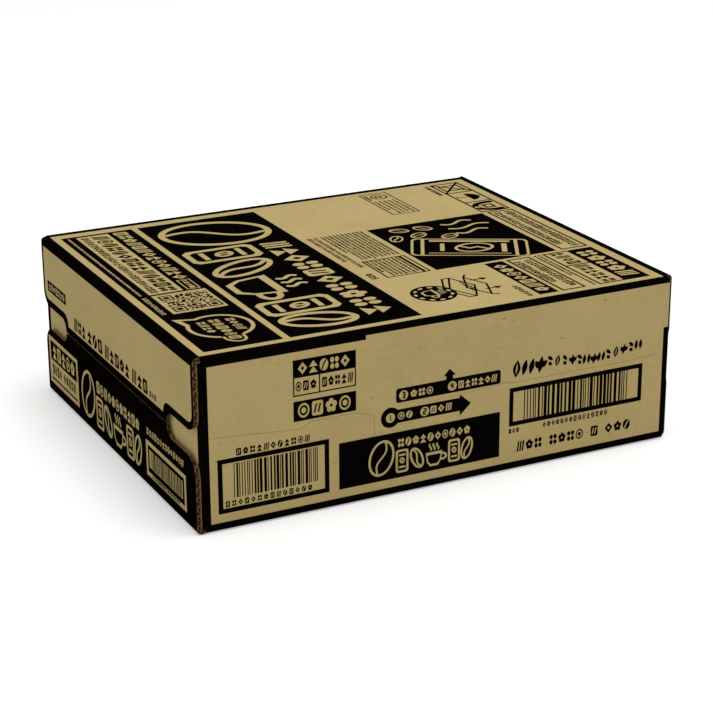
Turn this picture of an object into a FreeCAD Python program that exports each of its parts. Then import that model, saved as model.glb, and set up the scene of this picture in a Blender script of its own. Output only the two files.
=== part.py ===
import FreeCAD, Part

import math
import os
import Sketcher

# Shut wrap-around case of corrugated board for 30 slim drink cans.
# Millimetres, +Z up, X along the case, origin at the middle of its underside.
# One blank wraps the cans: top, front, bottom and back panels, inner end flaps from the
# front and back, and outer end flaps from the top and bottom that meet at mid height.
# The shut case is solid, because the cans fill it.

SIZES = {
    "case_length": 330.0,        # six cans of 53 mm and two boards at each end
    "case_width": 272.0,         # five cans of 53 mm and one board at each side
    "case_height": 110.0,        # one can of 104 mm and one board above and below
    "board": 3.0,                # B-flute board
    "liner": 0.4,                # facing paper of the board, as drawn at a raw edge
    "flute_pitch": 6.0,          # one wave of the board's middle layer
    "flute_web": 0.6,            # middle layer between two hollows, along the edge
    "flute_depth": 1.5,          # depth of the hollows that are drawn
    "panel_fold": 4.0,           # outer radius of the folds along the case
    "side_fold": 3.5,            # outer radius of the upright folds
    "end_fold": 5.0,             # outer radius of the outer flaps' folds
    "near_setback": 1.0,         # outer flap's raw edge to the panel beside it
    "far_setback": 4.5,          # the same at the flap's other edge: it sits off centre
    "meeting_rise": 0.6,         # meeting line of the outer flaps above mid height
    "seam_gap": 0.8,             # gap between the outer flaps
    "notch_depth": 43.5,         # thumb notch at each end of the meeting line
    "notch_height": 16.2,
    "notch_radius": 7.5,         # inner corners of the notch
    "tab_radius": 10.5,          # corner of the upper flap at the notch's mouth
    "shoulder_radius": 12.5,     # corner of the lower flap at the notch's mouth
    "slot_length": 6.0,          # cut between two flaps, into the panels' corner
    "slot_drop": 4.0,
    "glue_seam_width": 0.8,      # line between the back panel and the glue flap under it
    "glue_seam_depth": 1.5,
    "opening_height": 55.0,      # tear line on the front and back panels
    "opening_rise": 4.8,         # its height at the upright folds, above its lowest point
    "opening_ridge": 3.6,        # its level stretches, above its lowest point
    "opening_step": 6.0,         # run of its short slopes
    "tear_station": 67.0,        # lowest point of the tear line, from the left end
    "tab_station": 115.0,        # push-in tab, from the left end
    "tab_drop": 13.0,            # cut at the side of the push-in tab
    "strip_station": 205.0,      # end of the tear strip, from the left end
    "cut_width": 0.5,
    "cut_depth": 0.4,
}

OVERSHOOT = "20"  # how far a cutting frame reaches past the case

LEFT = "(-Sizes.case_length / 2)"
RIGHT = "(Sizes.case_length / 2)"
FRONT = "(-Sizes.case_width / 2)"
BACK = "(Sizes.case_width / 2)"
TOP = "Sizes.case_height"
INNER_LEFT = "(-Sizes.case_length / 2 + Sizes.board)"
INNER_RIGHT = "(Sizes.case_length / 2 - Sizes.board)"
FLAP_FRONT = "(-Sizes.case_width / 2 + Sizes.near_setback)"
FLAP_BACK = "(Sizes.case_width / 2 - Sizes.far_setback)"
MEETING = "(Sizes.case_height / 2 + Sizes.meeting_rise)"
NOTCH_TOP = f"({MEETING} + Sizes.notch_height / 2)"
NOTCH_FLOOR = f"({MEETING} - Sizes.notch_height / 2)"


def make_sheet(document):
    """Keep the driving dimensions in a spreadsheet with one alias for each."""
    sheet = document.addObject("Spreadsheet::Sheet", "Sizes")
    for row, (alias, size) in enumerate(SIZES.items(), start=1):
        sheet.set(f"A{row}", alias.replace("_", " "))
        sheet.set(f"B{row}", str(size))
        sheet.setAlias(f"B{row}", alias)
    document.recompute()
    return sheet


def origin_part(body, role):
    """Return the body's own origin plane or axis of that role."""
    return next(part for part in body.Origin.OriginFeatures if part.Role == role)


def place_sketch(body, name, plane, offset=None):
    """Attach a new sketch to an origin plane, moved along the plane's normal by a formula."""
    sketch = body.newObject("Sketcher::SketchObject", name)
    sketch.AttachmentSupport = [(origin_part(body, plane), "")]
    sketch.MapMode = "FlatFace"
    if offset:
        sketch.setExpression("AttachmentOffset.Base.z", offset)
    return sketch


def bind(sketch, kind, references, formula):
    """Add a dimension to the sketch and bind it to a formula of the sheet's cells."""
    size = float(sketch.evalExpression(formula))
    index = sketch.addConstraint(Sketcher.Constraint(kind, *references, size))
    sketch.setExpression(f"Constraints[{index}]", formula)


def point_at(sketch, across, up):
    """Work out a sketch point from two formulas."""
    return FreeCAD.Vector(
        float(sketch.evalExpression(across)), float(sketch.evalExpression(up)), 0.0
    )


def draw_square_loop(sketch, corners):
    """Draw a closed loop of level and upright lines, with some corners rounded.

    Each corner is (across, up, radius) as formulas, with None for a sharp corner.
    """
    count = len(corners)
    places = [point_at(sketch, across, up) for across, up, _ in corners]
    radii = [float(sketch.evalExpression(radius)) if radius else 0.0 for _, _, radius in corners]
    ahead = []
    for index in range(count):
        step = places[(index + 1) % count] - places[index]
        ahead.append(step.normalize())
    lines = []
    for index in range(count):
        after = (index + 1) % count
        start = places[index] + ahead[index] * radii[index]
        end = places[after] - ahead[index] * radii[after]
        lines.append(sketch.addGeometry(Part.LineSegment(start, end)))
        if corners[index][1] == corners[after][1]:
            sketch.addConstraint(Sketcher.Constraint("Horizontal", lines[index]))
            bind(sketch, "DistanceY", (-1, 1, lines[index], 1), corners[index][1])
        else:
            sketch.addConstraint(Sketcher.Constraint("Vertical", lines[index]))
            bind(sketch, "DistanceX", (-1, 1, lines[index], 1), corners[index][0])
    for index in range(count):
        if radii[index]:
            round_corner(sketch, lines, places, ahead, radii, index)
            bind(sketch, "Radius", (sketch.GeometryCount - 1,), corners[index][2])
        else:
            joint = Sketcher.Constraint("Coincident", lines[index - 1], 2, lines[index], 1)
            sketch.addConstraint(joint)


def round_corner(sketch, lines, places, ahead, radii, index):
    """Add the arc at one corner, tangent to the line that comes in and the one that leaves."""
    inward, outward, radius = ahead[index - 1], ahead[index], radii[index]
    centre = places[index] - inward * radius + outward * radius
    first = places[index] - inward * radius - centre
    last = places[index] + outward * radius - centre
    turns_left = inward.cross(outward).z > 0
    if not turns_left:
        first, last = last, first
    circle = Part.Circle(centre, FreeCAD.Vector(0, 0, 1), radius)
    start = math.atan2(first.y, first.x)
    end = start + math.pi / 2
    arc = sketch.addGeometry(Part.ArcOfCircle(circle, start, end))
    into, out_of = (1, 2) if turns_left else (2, 1)
    sketch.addConstraint(Sketcher.Constraint("Tangent", lines[index - 1], 2, arc, into))
    sketch.addConstraint(Sketcher.Constraint("Tangent", arc, out_of, lines[index], 1))


def draw_free_loop(sketch, corners):
    """Draw a closed loop of straight lines through corners given as (across, up) formulas."""
    places = [point_at(sketch, across, up) for across, up in corners]
    lines = []
    for index, place in enumerate(places):
        after = places[(index + 1) % len(places)]
        lines.append(sketch.addGeometry(Part.LineSegment(place, after)))
    for index, (across, up) in enumerate(corners):
        joint = Sketcher.Constraint("Coincident", lines[index - 1], 2, lines[index], 1)
        sketch.addConstraint(joint)
        bind(sketch, "DistanceX", (-1, 1, lines[index], 1), across)
        bind(sketch, "DistanceY", (-1, 1, lines[index], 1), up)


def draw_frame(sketch, left, right, low, high, radius):
    """Draw a rounded rectangle inside a wide frame, so that a pocket keeps what is inside."""
    draw_square_loop(sketch, [
        (f"({left} - {OVERSHOOT})", f"({low} - {OVERSHOOT})", None),
        (f"({right} + {OVERSHOOT})", f"({low} - {OVERSHOOT})", None),
        (f"({right} + {OVERSHOOT})", f"({high} + {OVERSHOOT})", None),
        (f"({left} - {OVERSHOOT})", f"({high} + {OVERSHOOT})", None),
    ])
    draw_square_loop(sketch, [
        (left, low, radius),
        (right, low, radius),
        (right, high, radius),
        (left, high, radius),
    ])


def cut(body, name, sketch, depth=None, reversed_side=False):
    """Cut a sketch out of the body, right through where no depth is given."""
    volume = body.Shape.Volume
    pocket = body.newObject("PartDesign::Pocket", name)
    pocket.Profile = sketch
    if depth:
        pocket.setExpression("Length", depth)
        pocket.Reversed = reversed_side
    else:
        pocket.Type = "ThroughAll"
        pocket.SideType = "Symmetric"
    body.Document.recompute()
    if body.Shape.Volume >= volume:
        raise RuntimeError(f"{name} cuts nothing")
    return pocket


def turn_to_other_end(body, name, feature):
    """Repeat a feature half a turn round the case's upright axis."""
    pattern = body.newObject("PartDesign::PolarPattern", name)
    pattern.Originals = [feature]
    pattern.Axis = (origin_part(body, "Z_Axis"), [""])
    pattern.Angle = 360
    pattern.Occurrences = 2
    body.Tip = pattern
    body.Document.recompute()


def pad_wrapped_panels(body):
    """Top, front, bottom and back panels round the cans, between the two end flap layers.

    The back panel's free edge is square and laps the glue flap, so a seam runs beside it.
    """
    sketch = place_sketch(body, "WrapSection", "YZ_Plane")
    seam_outer = f"({BACK} - Sizes.board)"
    seam_inner = f"({BACK} - Sizes.board - Sizes.glue_seam_width)"
    draw_square_loop(sketch, [
        (FRONT, "0", "Sizes.panel_fold"),
        (seam_inner, "0", None),
        (seam_inner, "Sizes.glue_seam_depth", None),
        (seam_outer, "Sizes.glue_seam_depth", None),
        (seam_outer, "0", None),
        (BACK, "0", None),
        (BACK, TOP, "Sizes.panel_fold"),
        (FRONT, TOP, "Sizes.panel_fold"),
    ])
    pad = body.newObject("PartDesign::Pad", "WrappedPanels")
    pad.Profile = sketch
    pad.SideType = "Symmetric"
    pad.setExpression("Length", "Sizes.case_length - 2 * Sizes.board")
    body.Document.recompute()


def round_upright_folds(body):
    """Round the folds from the front and back panels to their inner end flaps."""
    sketch = place_sketch(body, "UprightFoldFrame", "XY_Plane")
    draw_frame(sketch, INNER_LEFT, INNER_RIGHT, FRONT, BACK, "Sizes.side_fold")
    cut(body, "UprightFolds", sketch)


def pad_outer_flaps(body):
    """Upper and lower outer flaps over the inner ones, with thumb notches where they meet."""
    sketch = place_sketch(body, "FlapOutlines", "YZ_Plane", INNER_LEFT)
    notch_front = f"({FLAP_FRONT} + Sizes.notch_depth)"
    notch_back = f"({FLAP_BACK} - Sizes.notch_depth)"
    upper_edge = f"({MEETING} + Sizes.seam_gap / 2)"
    lower_edge = f"({MEETING} - Sizes.seam_gap / 2)"
    draw_square_loop(sketch, [
        (FLAP_FRONT, TOP, None),
        (FLAP_FRONT, NOTCH_TOP, "Sizes.tab_radius"),
        (notch_front, NOTCH_TOP, "Sizes.notch_radius"),
        (notch_front, upper_edge, None),
        (notch_back, upper_edge, None),
        (notch_back, NOTCH_TOP, "Sizes.notch_radius"),
        (FLAP_BACK, NOTCH_TOP, "Sizes.tab_radius"),
        (FLAP_BACK, TOP, None),
    ])
    draw_square_loop(sketch, [
        (FLAP_FRONT, "0", None),
        (FLAP_BACK, "0", None),
        (FLAP_BACK, NOTCH_FLOOR, "Sizes.shoulder_radius"),
        (notch_back, NOTCH_FLOOR, "Sizes.notch_radius"),
        (notch_back, lower_edge, None),
        (notch_front, lower_edge, None),
        (notch_front, NOTCH_FLOOR, "Sizes.notch_radius"),
        (FLAP_FRONT, NOTCH_FLOOR, "Sizes.shoulder_radius"),
    ])
    pad = body.newObject("PartDesign::Pad", "OuterFlaps")
    pad.Profile = sketch
    pad.Reversed = True
    pad.setExpression("Length", "Sizes.board")
    body.Document.recompute()
    turn_to_other_end(body, "OuterFlapsBothEnds", pad)


def round_end_folds(body):
    """Round the folds from the top and bottom panels to the outer flaps."""
    sketch = place_sketch(body, "EndFoldFrame", "XZ_Plane")
    draw_frame(sketch, LEFT, RIGHT, "0", TOP, "Sizes.end_fold")
    cut(body, "EndFolds", sketch)


def cut_corner_slots(body):
    """Slots between the outer and inner flaps, which run on into the panels' corners."""
    slot_end = f"({LEFT} + Sizes.slot_length)"
    outside = f"({LEFT} - {OVERSHOOT})"
    for name, height, upward in (("Top", TOP, False), ("Bottom", None, True)):
        sketch = place_sketch(body, f"{name}SlotPlan", "XY_Plane", height)
        for inner, outer in (
            (FLAP_FRONT, f"({FRONT} - {OVERSHOOT})"),
            (FLAP_BACK, f"({BACK} + {OVERSHOOT})"),
        ):
            draw_square_loop(sketch, [
                (outside, inner, None),
                (slot_end, inner, None),
                (slot_end, outer, None),
                (outside, outer, None),
            ])
        pocket = cut(body, f"{name}Slots", sketch, "Sizes.slot_drop", upward)
        turn_to_other_end(body, f"{name}SlotsBothEnds", pocket)


def draw_flute_pair(sketch, start):
    """Two hollows of the board's wave: one open to the outer liner, one to the inner."""
    outer = f"({LEFT} + Sizes.liner)"
    inner = f"({LEFT} + Sizes.board - Sizes.liner)"
    wide = "(Sizes.flute_pitch / 2 - Sizes.flute_web)"
    narrow = "(Sizes.flute_web / 2)"
    for steps, base, crest in ((1, outer, inner), (2, inner, outer)):
        middle = f"({start} + {steps} * Sizes.flute_pitch / 2)"
        draw_free_loop(sketch, [
            (base, f"({middle} - {wide})"),
            (base, f"({middle} + {wide})"),
            (crest, f"({middle} + {narrow})"),
            (crest, f"({middle} - {narrow})"),
        ])


def cut_flute_run(body, name, plane_offset, back_edge, start, run):
    """Open flutes along one raw upright edge, repeated at the case's other end."""
    sketch = place_sketch(body, f"{name}Pair", "XZ_Plane", plane_offset)
    draw_flute_pair(sketch, start)
    pocket = cut(body, f"{name}Hollows", sketch, "Sizes.flute_depth", back_edge)
    pairs = f"floor(({run} - Sizes.flute_pitch / 2) / Sizes.flute_pitch)"
    run_pattern = body.newObject("PartDesign::MultiTransform", f"{name}Run")
    run_pattern.Originals = [pocket]
    along = body.newObject("PartDesign::LinearPattern", f"{name}Along")
    along.Direction = (sketch, ["V_Axis"])
    along.setExpression("Occurrences", pairs)
    along.setExpression("Length", f"({pairs} - 1) * Sizes.flute_pitch")
    around = body.newObject("PartDesign::PolarPattern", f"{name}Around")
    around.Axis = (origin_part(body, "Z_Axis"), [""])
    around.Angle = 360
    around.Occurrences = 2
    run_pattern.Transformations = [along, around]
    body.Tip = run_pattern
    body.Document.recompute()


def cut_flutes(body):
    """Raw corrugated edges of the outer flaps, above and below the thumb notches."""
    upper_start = f"({NOTCH_TOP} + Sizes.tab_radius)"
    upper_run = f"({TOP} - Sizes.end_fold - {upper_start})"
    lower_start = "Sizes.end_fold"
    lower_run = f"({NOTCH_FLOOR} - Sizes.shoulder_radius - {lower_start})"
    for side, edge, back_edge in (("Front", FLAP_FRONT, False), ("Back", FLAP_BACK, True)):
        cut_flute_run(body, f"{side}UpperFlutes", f"-{edge}", back_edge, upper_start, upper_run)
        cut_flute_run(body, f"{side}LowerFlutes", f"-{edge}", back_edge, lower_start, lower_run)


def draw_cut_line(sketch, stations):
    """Draw a thin band along stations given as (distance from the left end, height)."""
    half = "Sizes.cut_width / 2"
    below = [(f"({LEFT} + {along})", f"({up} - {half})") for along, up in stations]
    above = [(f"({LEFT} + {along})", f"({up} + {half})") for along, up in stations]
    draw_free_loop(sketch, below + above[::-1])


def cut_opening_line(body):
    """Tear line with a push-in tab, on the front panel and, turned round, on the back."""
    sketch = place_sketch(body, "OpeningLinePath", "XZ_Plane", f"-{FRONT}")
    low = "Sizes.opening_height"
    crest = f"({low} + Sizes.opening_rise)"
    ridge = f"({low} + Sizes.opening_ridge)"
    step = "Sizes.opening_step"
    left_fold = "(Sizes.board + Sizes.side_fold)"
    right_fold = "(Sizes.case_length - Sizes.board - Sizes.side_fold)"
    draw_cut_line(sketch, [
        (left_fold, crest),
        ("Sizes.tear_station", low),
        (f"(Sizes.tear_station + {step})", ridge),
        (f"(Sizes.tab_station - 2 * {step})", ridge),
        ("Sizes.tab_station", low),
    ])
    draw_cut_line(sketch, [
        ("Sizes.strip_station", crest),
        (f"(Sizes.strip_station + {step})", ridge),
        (f"({right_fold} - 4 * {step})", ridge),
        (right_fold, crest),
    ])
    side = f"({LEFT} + Sizes.tab_station)"
    tab_top = f"({low} - Sizes.cut_width)"
    tab_foot = f"({low} - Sizes.tab_drop)"
    draw_square_loop(sketch, [
        (side, tab_foot, None),
        (f"({side} + Sizes.cut_width)", tab_foot, None),
        (f"({side} + Sizes.cut_width)", tab_top, None),
        (side, tab_top, None),
    ])
    pocket = cut(body, "OpeningLine", sketch, "Sizes.cut_depth")
    turn_to_other_end(body, "OpeningLineBothSides", pocket)


def make_case(document):
    """Model the shut case as one solid."""
    body = document.addObject("PartDesign::Body", "Case")
    body.Label = "can_case"
    body.Placement = FreeCAD.Placement()
    pad_wrapped_panels(body)
    round_upright_folds(body)
    pad_outer_flaps(body)
    round_end_folds(body)
    cut_corner_slots(body)
    cut_flutes(body)
    cut_opening_line(body)
    return body


def check_document(document, parts):
    """Stop if an object failed or a sub-part's shape isn't one sound solid."""
    for thing in document.Objects:
        if "Invalid" in thing.State or "Error" in thing.State:
            raise RuntimeError(f"{thing.Name} failed: {thing.State}")
    for part in parts:
        if part.Shape.isNull() or not part.Shape.isValid() or len(part.Shape.Solids) != 1:
            raise RuntimeError(f"{part.Label} isn't one sound solid")


def main():
    document = FreeCAD.newDocument("CanCase")
    make_sheet(document)
    parts = [make_case(document)]
    document.recompute()
    check_document(document, parts)
    os.makedirs("parts", exist_ok=True)
    for part in parts:
        part.Shape.exportStep(f"parts/{part.Label}.step")
        box = part.Shape.BoundBox
        print(part.Label, box, "volume", round(part.Shape.Volume), "faces", len(part.Shape.Faces))


main()
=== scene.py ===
"""Shut wrap-around case of corrugated board for slim drink cans.

The case is folded from one blank of B-flute board. Every sheet of board is drawn in the flat,
as its own developed outline, and is then carried round its folds. The black print is a film
on the outer liner, drawn in the same flat coordinates. Lengths are millimetres until a mesh is
made, and the frame is the case's own: X along it, Z up, the origin under its middle.
"""

import logging
import math
from dataclasses import dataclass, field
from enum import Enum

import bpy
import numpy as np
from mathutils import Matrix, Vector
from mathutils.geometry import delaunay_2d_cdt

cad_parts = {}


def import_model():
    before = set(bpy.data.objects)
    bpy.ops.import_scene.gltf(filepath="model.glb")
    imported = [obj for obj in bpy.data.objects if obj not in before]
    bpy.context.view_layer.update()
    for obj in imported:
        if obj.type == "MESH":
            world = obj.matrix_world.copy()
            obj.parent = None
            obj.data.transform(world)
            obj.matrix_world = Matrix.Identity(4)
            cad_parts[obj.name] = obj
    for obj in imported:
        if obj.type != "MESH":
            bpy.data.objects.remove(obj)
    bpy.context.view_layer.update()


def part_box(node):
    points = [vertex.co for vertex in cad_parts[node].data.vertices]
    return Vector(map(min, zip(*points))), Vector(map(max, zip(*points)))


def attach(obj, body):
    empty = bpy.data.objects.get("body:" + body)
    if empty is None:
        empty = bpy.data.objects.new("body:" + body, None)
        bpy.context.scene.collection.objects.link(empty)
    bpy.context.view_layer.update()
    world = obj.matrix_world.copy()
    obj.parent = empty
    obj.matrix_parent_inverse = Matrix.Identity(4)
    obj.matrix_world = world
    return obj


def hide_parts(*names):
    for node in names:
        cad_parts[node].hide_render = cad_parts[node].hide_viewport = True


LOG = logging.getLogger("can_case")
NODE = "can_case"
BODY = "root"
MM = 0.001
CUT_EDGE = "cut_edge"   # face attribute: 1 where the board is cut, 0 on its skins
FLAT_UV = "Developed"   # UV map of the flat coordinates
WHITE = "#FFFFFF"
ARC_STEPS = 12          # straight steps round a fold
CUT_TOLERANCE = 1e-5    # millimetres, for the flat cutting
BOARD_SINK = 0.06       # liner's face under the case's outline, so that the print has room
PRINT_SINK = 0.02       # print's face under the case's outline


def linear(colour: str) -> tuple[float, float, float, float]:
    """Turn an sRGB hex colour to linear light.

    Args:
        colour: Six hex digits after a hash.

    Returns:
        Red, green and blue in linear light, and an alpha of 1.
    """
    levels = [int(colour[i:i + 2], 16) / 255 for i in (1, 3, 5)]
    light = [v / 12.92 if v <= 0.04045 else ((v + 0.055) / 1.055) ** 2.4 for v in levels]
    return (light[0], light[1], light[2], 1.0)


# ---------------------------------------------------------------- sizes of the case


@dataclass(frozen=True)
class CaseSizes:
    """Sizes of the case in millimetres. The outer box comes from the model of the case."""

    length: float
    width: float
    height: float
    board: float = 3.0
    liner: float = 0.18
    flute_pitch: float = 6.0
    medium: float = 0.36
    panel_fold: float = 3.0
    side_fold: float = 1.6
    end_fold: float = 2.9
    near_setback: float = 1.0
    far_setback: float = 4.5
    meeting_rise: float = 0.6
    seam_gap: float = 0.8
    notch_depth: float = 43.5
    notch_height: float = 16.2
    notch_radius: float = 7.5
    tab_radius: float = 10.5
    shoulder_radius: float = 12.5
    slot_length: float = 4.6
    glue_seam: float = 0.8
    raw_depth: float = 4.0      # how far the open flutes can be seen into
    tear_dash: float = 5.2
    tear_pitch: float = 8.3
    tear_width: float = 0.5
    tear_depth: float = 0.35

    @classmethod
    def from_model(cls) -> "CaseSizes":
        """Read the outer sizes from the case's node.

        Returns:
            The case's sizes, in millimetres.
        """
        low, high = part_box(NODE)
        size = (high - low) / MM
        return cls(length=round(size.x, 3), width=round(size.y, 3), height=round(size.z, 3))

    @property
    def meeting(self) -> float:
        """Height of the line where the outer flaps meet."""
        return self.height / 2 + self.meeting_rise

    @property
    def panel_arc(self) -> float:
        """How much longer the arc of a fold along the case is than its radius."""
        return self.panel_fold * (math.pi / 2 - 1)

    @property
    def end_arc(self) -> float:
        """How much longer the arc of a fold at an end is than its radius."""
        return self.end_fold * (math.pi / 2 - 1)

    def slot_height(self, upper: bool) -> float:
        """Developed height of a slot's end on an end's flap, past the fold."""
        past = self.end_arc + self.slot_length - self.end_fold
        return self.height + past if upper else -past


# ---------------------------------------------------------------- flat shapes


Spot = tuple[float, float]      # a flat place: across, up


def turned(points: np.ndarray, angle: float, centre: Spot) -> np.ndarray:
    """Turn flat points about a centre by an angle in radians."""
    c, s = math.cos(angle), math.sin(angle)
    return (points - centre) @ np.array([[c, s], [-s, c]]) + centre


def rectangle(left: float, low: float, right: float, high: float,
              radius: float = 0.0, steps: int = 6) -> np.ndarray:
    """Outline of a rectangle, with quarter circles of one radius at its corners.

    Args:
        left, low, right, high: The rectangle's sides.
        radius: Corner radius, or 0 for sharp corners.
        steps: Straight steps to a corner.

    Returns:
        The outline's points, anticlockwise.
    """
    if radius <= 0:
        return np.array([(left, low), (right, low), (right, high), (left, high)], float)
    turn = np.linspace(0, math.pi / 2, steps + 1)
    quarters = turn[None, :] + np.arange(-1, 3)[:, None] * math.pi / 2
    centres = np.array([(right - radius, low + radius), (right - radius, high - radius),
                        (left + radius, high - radius), (left + radius, low + radius)])
    ring = np.stack([np.cos(quarters), np.sin(quarters)], axis=-1) * radius
    return (centres[:, None, :] + ring).reshape(-1, 2)


def oval(x: float, y: float, wide: float, tall: float, tilt: float = 0.0,
         steps: int = 40) -> np.ndarray:
    """Outline of an ellipse: (wide cos t, tall sin t), turned by the tilt in degrees.

    Args:
        x, y: The centre.
        wide, tall: Half the width and half the height.
        tilt: Turn about the centre, in degrees.
        steps: Points round the outline.

    Returns:
        The outline's points, anticlockwise.
    """
    t = np.linspace(0, 2 * math.pi, steps, endpoint=False)
    ring = np.stack([np.cos(t) * wide, np.sin(t) * tall], axis=-1) + (x, y)
    return turned(ring, math.radians(tilt), (x, y))


def leaf(x: float, y: float, wide: float, tall: float, tilt: float) -> np.ndarray:
    """Outline of a pointed leaf: its half width is wide sin(pi t) up its height t.

    Args:
        x, y: The centre.
        wide, tall: Half the width at most, and the whole height.
        tilt: Turn about the centre, in degrees.

    Returns:
        The outline's points.
    """
    t = np.linspace(0, 1, 9)
    side = np.stack([np.sin(t * math.pi) * wide, (t - 0.5) * tall], axis=-1)
    ring = np.concatenate([side, side[-2:0:-1] * (-1, 1)]) + (x, y)
    return turned(ring, math.radians(tilt), (x, y))


def along_normals(path: np.ndarray, closed: bool) -> np.ndarray:
    """Mitred normals of a path: the mean of its runs' left normals, lengthened at a bend.

    Args:
        path: The path's points.
        closed: Whether the last point leads to the first.

    Returns:
        One normal for each point, of unit length on a straight run.
    """
    ahead = np.roll(path, -1, axis=0) - path
    if not closed:
        ahead[-1] = ahead[-2]
    ahead /= np.maximum(np.linalg.norm(ahead, axis=1, keepdims=True), 1e-9)
    behind = np.roll(ahead, 1, axis=0)
    if not closed:
        behind[0] = ahead[0]
    left = np.stack([-ahead[:, 1], ahead[:, 0]], axis=-1)
    mean = left + np.stack([-behind[:, 1], behind[:, 0]], axis=-1)
    reach = np.maximum((mean * left).sum(axis=1, keepdims=True), 0.5)
    return mean / reach


def stroke(path: np.ndarray, width: float) -> np.ndarray:
    """Outline of a line of one width along an open path: the path moved to both its sides.

    Args:
        path: The line's points.
        width: The whole width of the line.

    Returns:
        The outline's points.
    """
    path = np.asarray(path, float)
    side = along_normals(path, closed=False) * width / 2
    return np.concatenate([path - side, (path + side)[::-1]])


def curve(start: Spot, bend: Spot, end: Spot) -> np.ndarray:
    """Quadratic curve through a start and an end, pulled towards a bend point."""
    t = np.linspace(0, 1, 11)[:, None]
    return (1 - t) ** 2 * start + 2 * t * (1 - t) * np.array(bend) + t ** 2 * np.array(end)


def rounded_path(corners: list[tuple[float, float, float]], step: float) -> np.ndarray:
    """Path of straight runs joined by tangent arcs, with points about one step apart.

    Args:
        corners: (across, up, radius) of each corner; the first and last are the ends.
        step: Distance between points on a straight run.

    Returns:
        The path's points.
    """
    spots = np.array([corner[:2] for corner in corners], float)
    radii = np.array([corner[2] for corner in corners], float)
    ahead = np.diff(spots, axis=0)
    runs = np.linalg.norm(ahead, axis=1)
    ahead /= runs[:, None]
    pieces = []
    for i in range(len(runs)):
        start = spots[i] + ahead[i] * radii[i]
        end = spots[i + 1] - ahead[i] * radii[i + 1]
        count = max(int(round(runs[i] / step)), 1)
        t = np.linspace(0, 1, count + 1)[:, None]
        pieces.append(start + (end - start) * t)
        if i + 1 < len(runs) and radii[i + 1] > 0:
            centre = end + (spots[i + 1] + ahead[i + 1] * radii[i + 1]) - spots[i + 1]
            turn = np.linspace(0, math.pi / 2, ARC_STEPS + 1)[1:-1, None]
            pieces.append(centre + (end - centre) * np.cos(turn)
                          + ahead[i] * radii[i + 1] * np.sin(turn))
    path = np.concatenate(pieces)
    keep = np.ones(len(path), bool)
    keep[1:] = np.linalg.norm(np.diff(path, axis=0), axis=1) > 1e-6
    return path[keep]


def measured(path: np.ndarray) -> np.ndarray:
    """Distance of each of a path's points from its start, along it."""
    return np.concatenate([[0], np.cumsum(np.linalg.norm(np.diff(path, axis=0), axis=1))])


def spots_at(path: np.ndarray, distances: np.ndarray) -> np.ndarray:
    """Places on a path at distances from its start."""
    run = measured(path)
    return np.stack([np.interp(distances, run, path[:, axis]) for axis in (0, 1)], -1)


def anticlockwise(loop: np.ndarray) -> np.ndarray:
    """Return the outline run anticlockwise, by the sign of its area.

    Args:
        loop: The outline's points, either way round.

    Returns:
        The same points, anticlockwise.
    """
    after = np.roll(loop, -1, axis=0)
    area = (loop[:, 0] * after[:, 1] - after[:, 0] * loop[:, 1]).sum()
    return loop if area > 0 else loop[::-1]


@dataclass
class FlatCut:
    """Flat triangles cut along outlines and fold lines.

    points: Flat points. triangles: Rows of three point numbers, anticlockwise.
    top: For each triangle, the number of the last outline laid over it.
    pressed: How far each point is pressed in below the surface.
    """

    points: np.ndarray
    triangles: np.ndarray
    top: np.ndarray
    pressed: np.ndarray


@dataclass
class Crease:
    """A cut or pressed line in a sheet: its path, its width and how deep its middle lies."""

    path: np.ndarray
    width: float
    depth: float


def cut_flat(loops: list[np.ndarray], guides: list[np.ndarray],
             creases: list[Crease] | None = None) -> FlatCut:
    """Cut the area inside outlines into triangles that respect every line.

    Args:
        loops: Outlines in the order in which they are laid down.
        guides: Open lines that the triangles' edges must follow, such as fold lines.
        creases: Lines whose middles are pressed in.

    Returns:
        The flat triangles.
    """
    creases = creases or []
    spots, edges, faces, pressed = [], [], [], []

    def lay(path: np.ndarray, depth: float = 0.0) -> list[int]:
        """Add a path's points to the ones to be cut.

        Args:
            path: The path's points.
            depth: How far they are pressed in.

        Returns:
            The numbers of the added points.
        """
        first = len(spots)
        spots.extend(Vector(point) for point in path.tolist())
        pressed.extend([depth] * len(path))
        return list(range(first, len(spots)))

    for loop in loops:
        faces.append(lay(anticlockwise(loop)))
    for guide in guides:
        numbers = lay(guide)
        edges.extend(zip(numbers, numbers[1:]))
    for crease in creases:
        rim = lay(stroke(crease.path, crease.width))
        edges.extend(zip(rim, rim[1:] + rim[:1]))
        middle = lay(crease.path, crease.depth)
        edges.extend(zip(middle, middle[1:]))
    points, _, triangles, from_spots, _, from_faces = delaunay_2d_cdt(
        spots, edges, faces, 0, CUT_TOLERANCE, True)
    inside = [i for i, sources in enumerate(from_faces) if sources]
    depth = [max((pressed[s] for s in sources), default=0.0) for sources in from_spots]
    return FlatCut(
        points=np.array([tuple(point) for point in points], float),
        triangles=np.array([triangles[i] for i in inside], int),
        top=np.array([max(from_faces[i]) for i in inside], int),
        pressed=np.array(depth, float),
    )


# ---------------------------------------------------------------- folding


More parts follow.
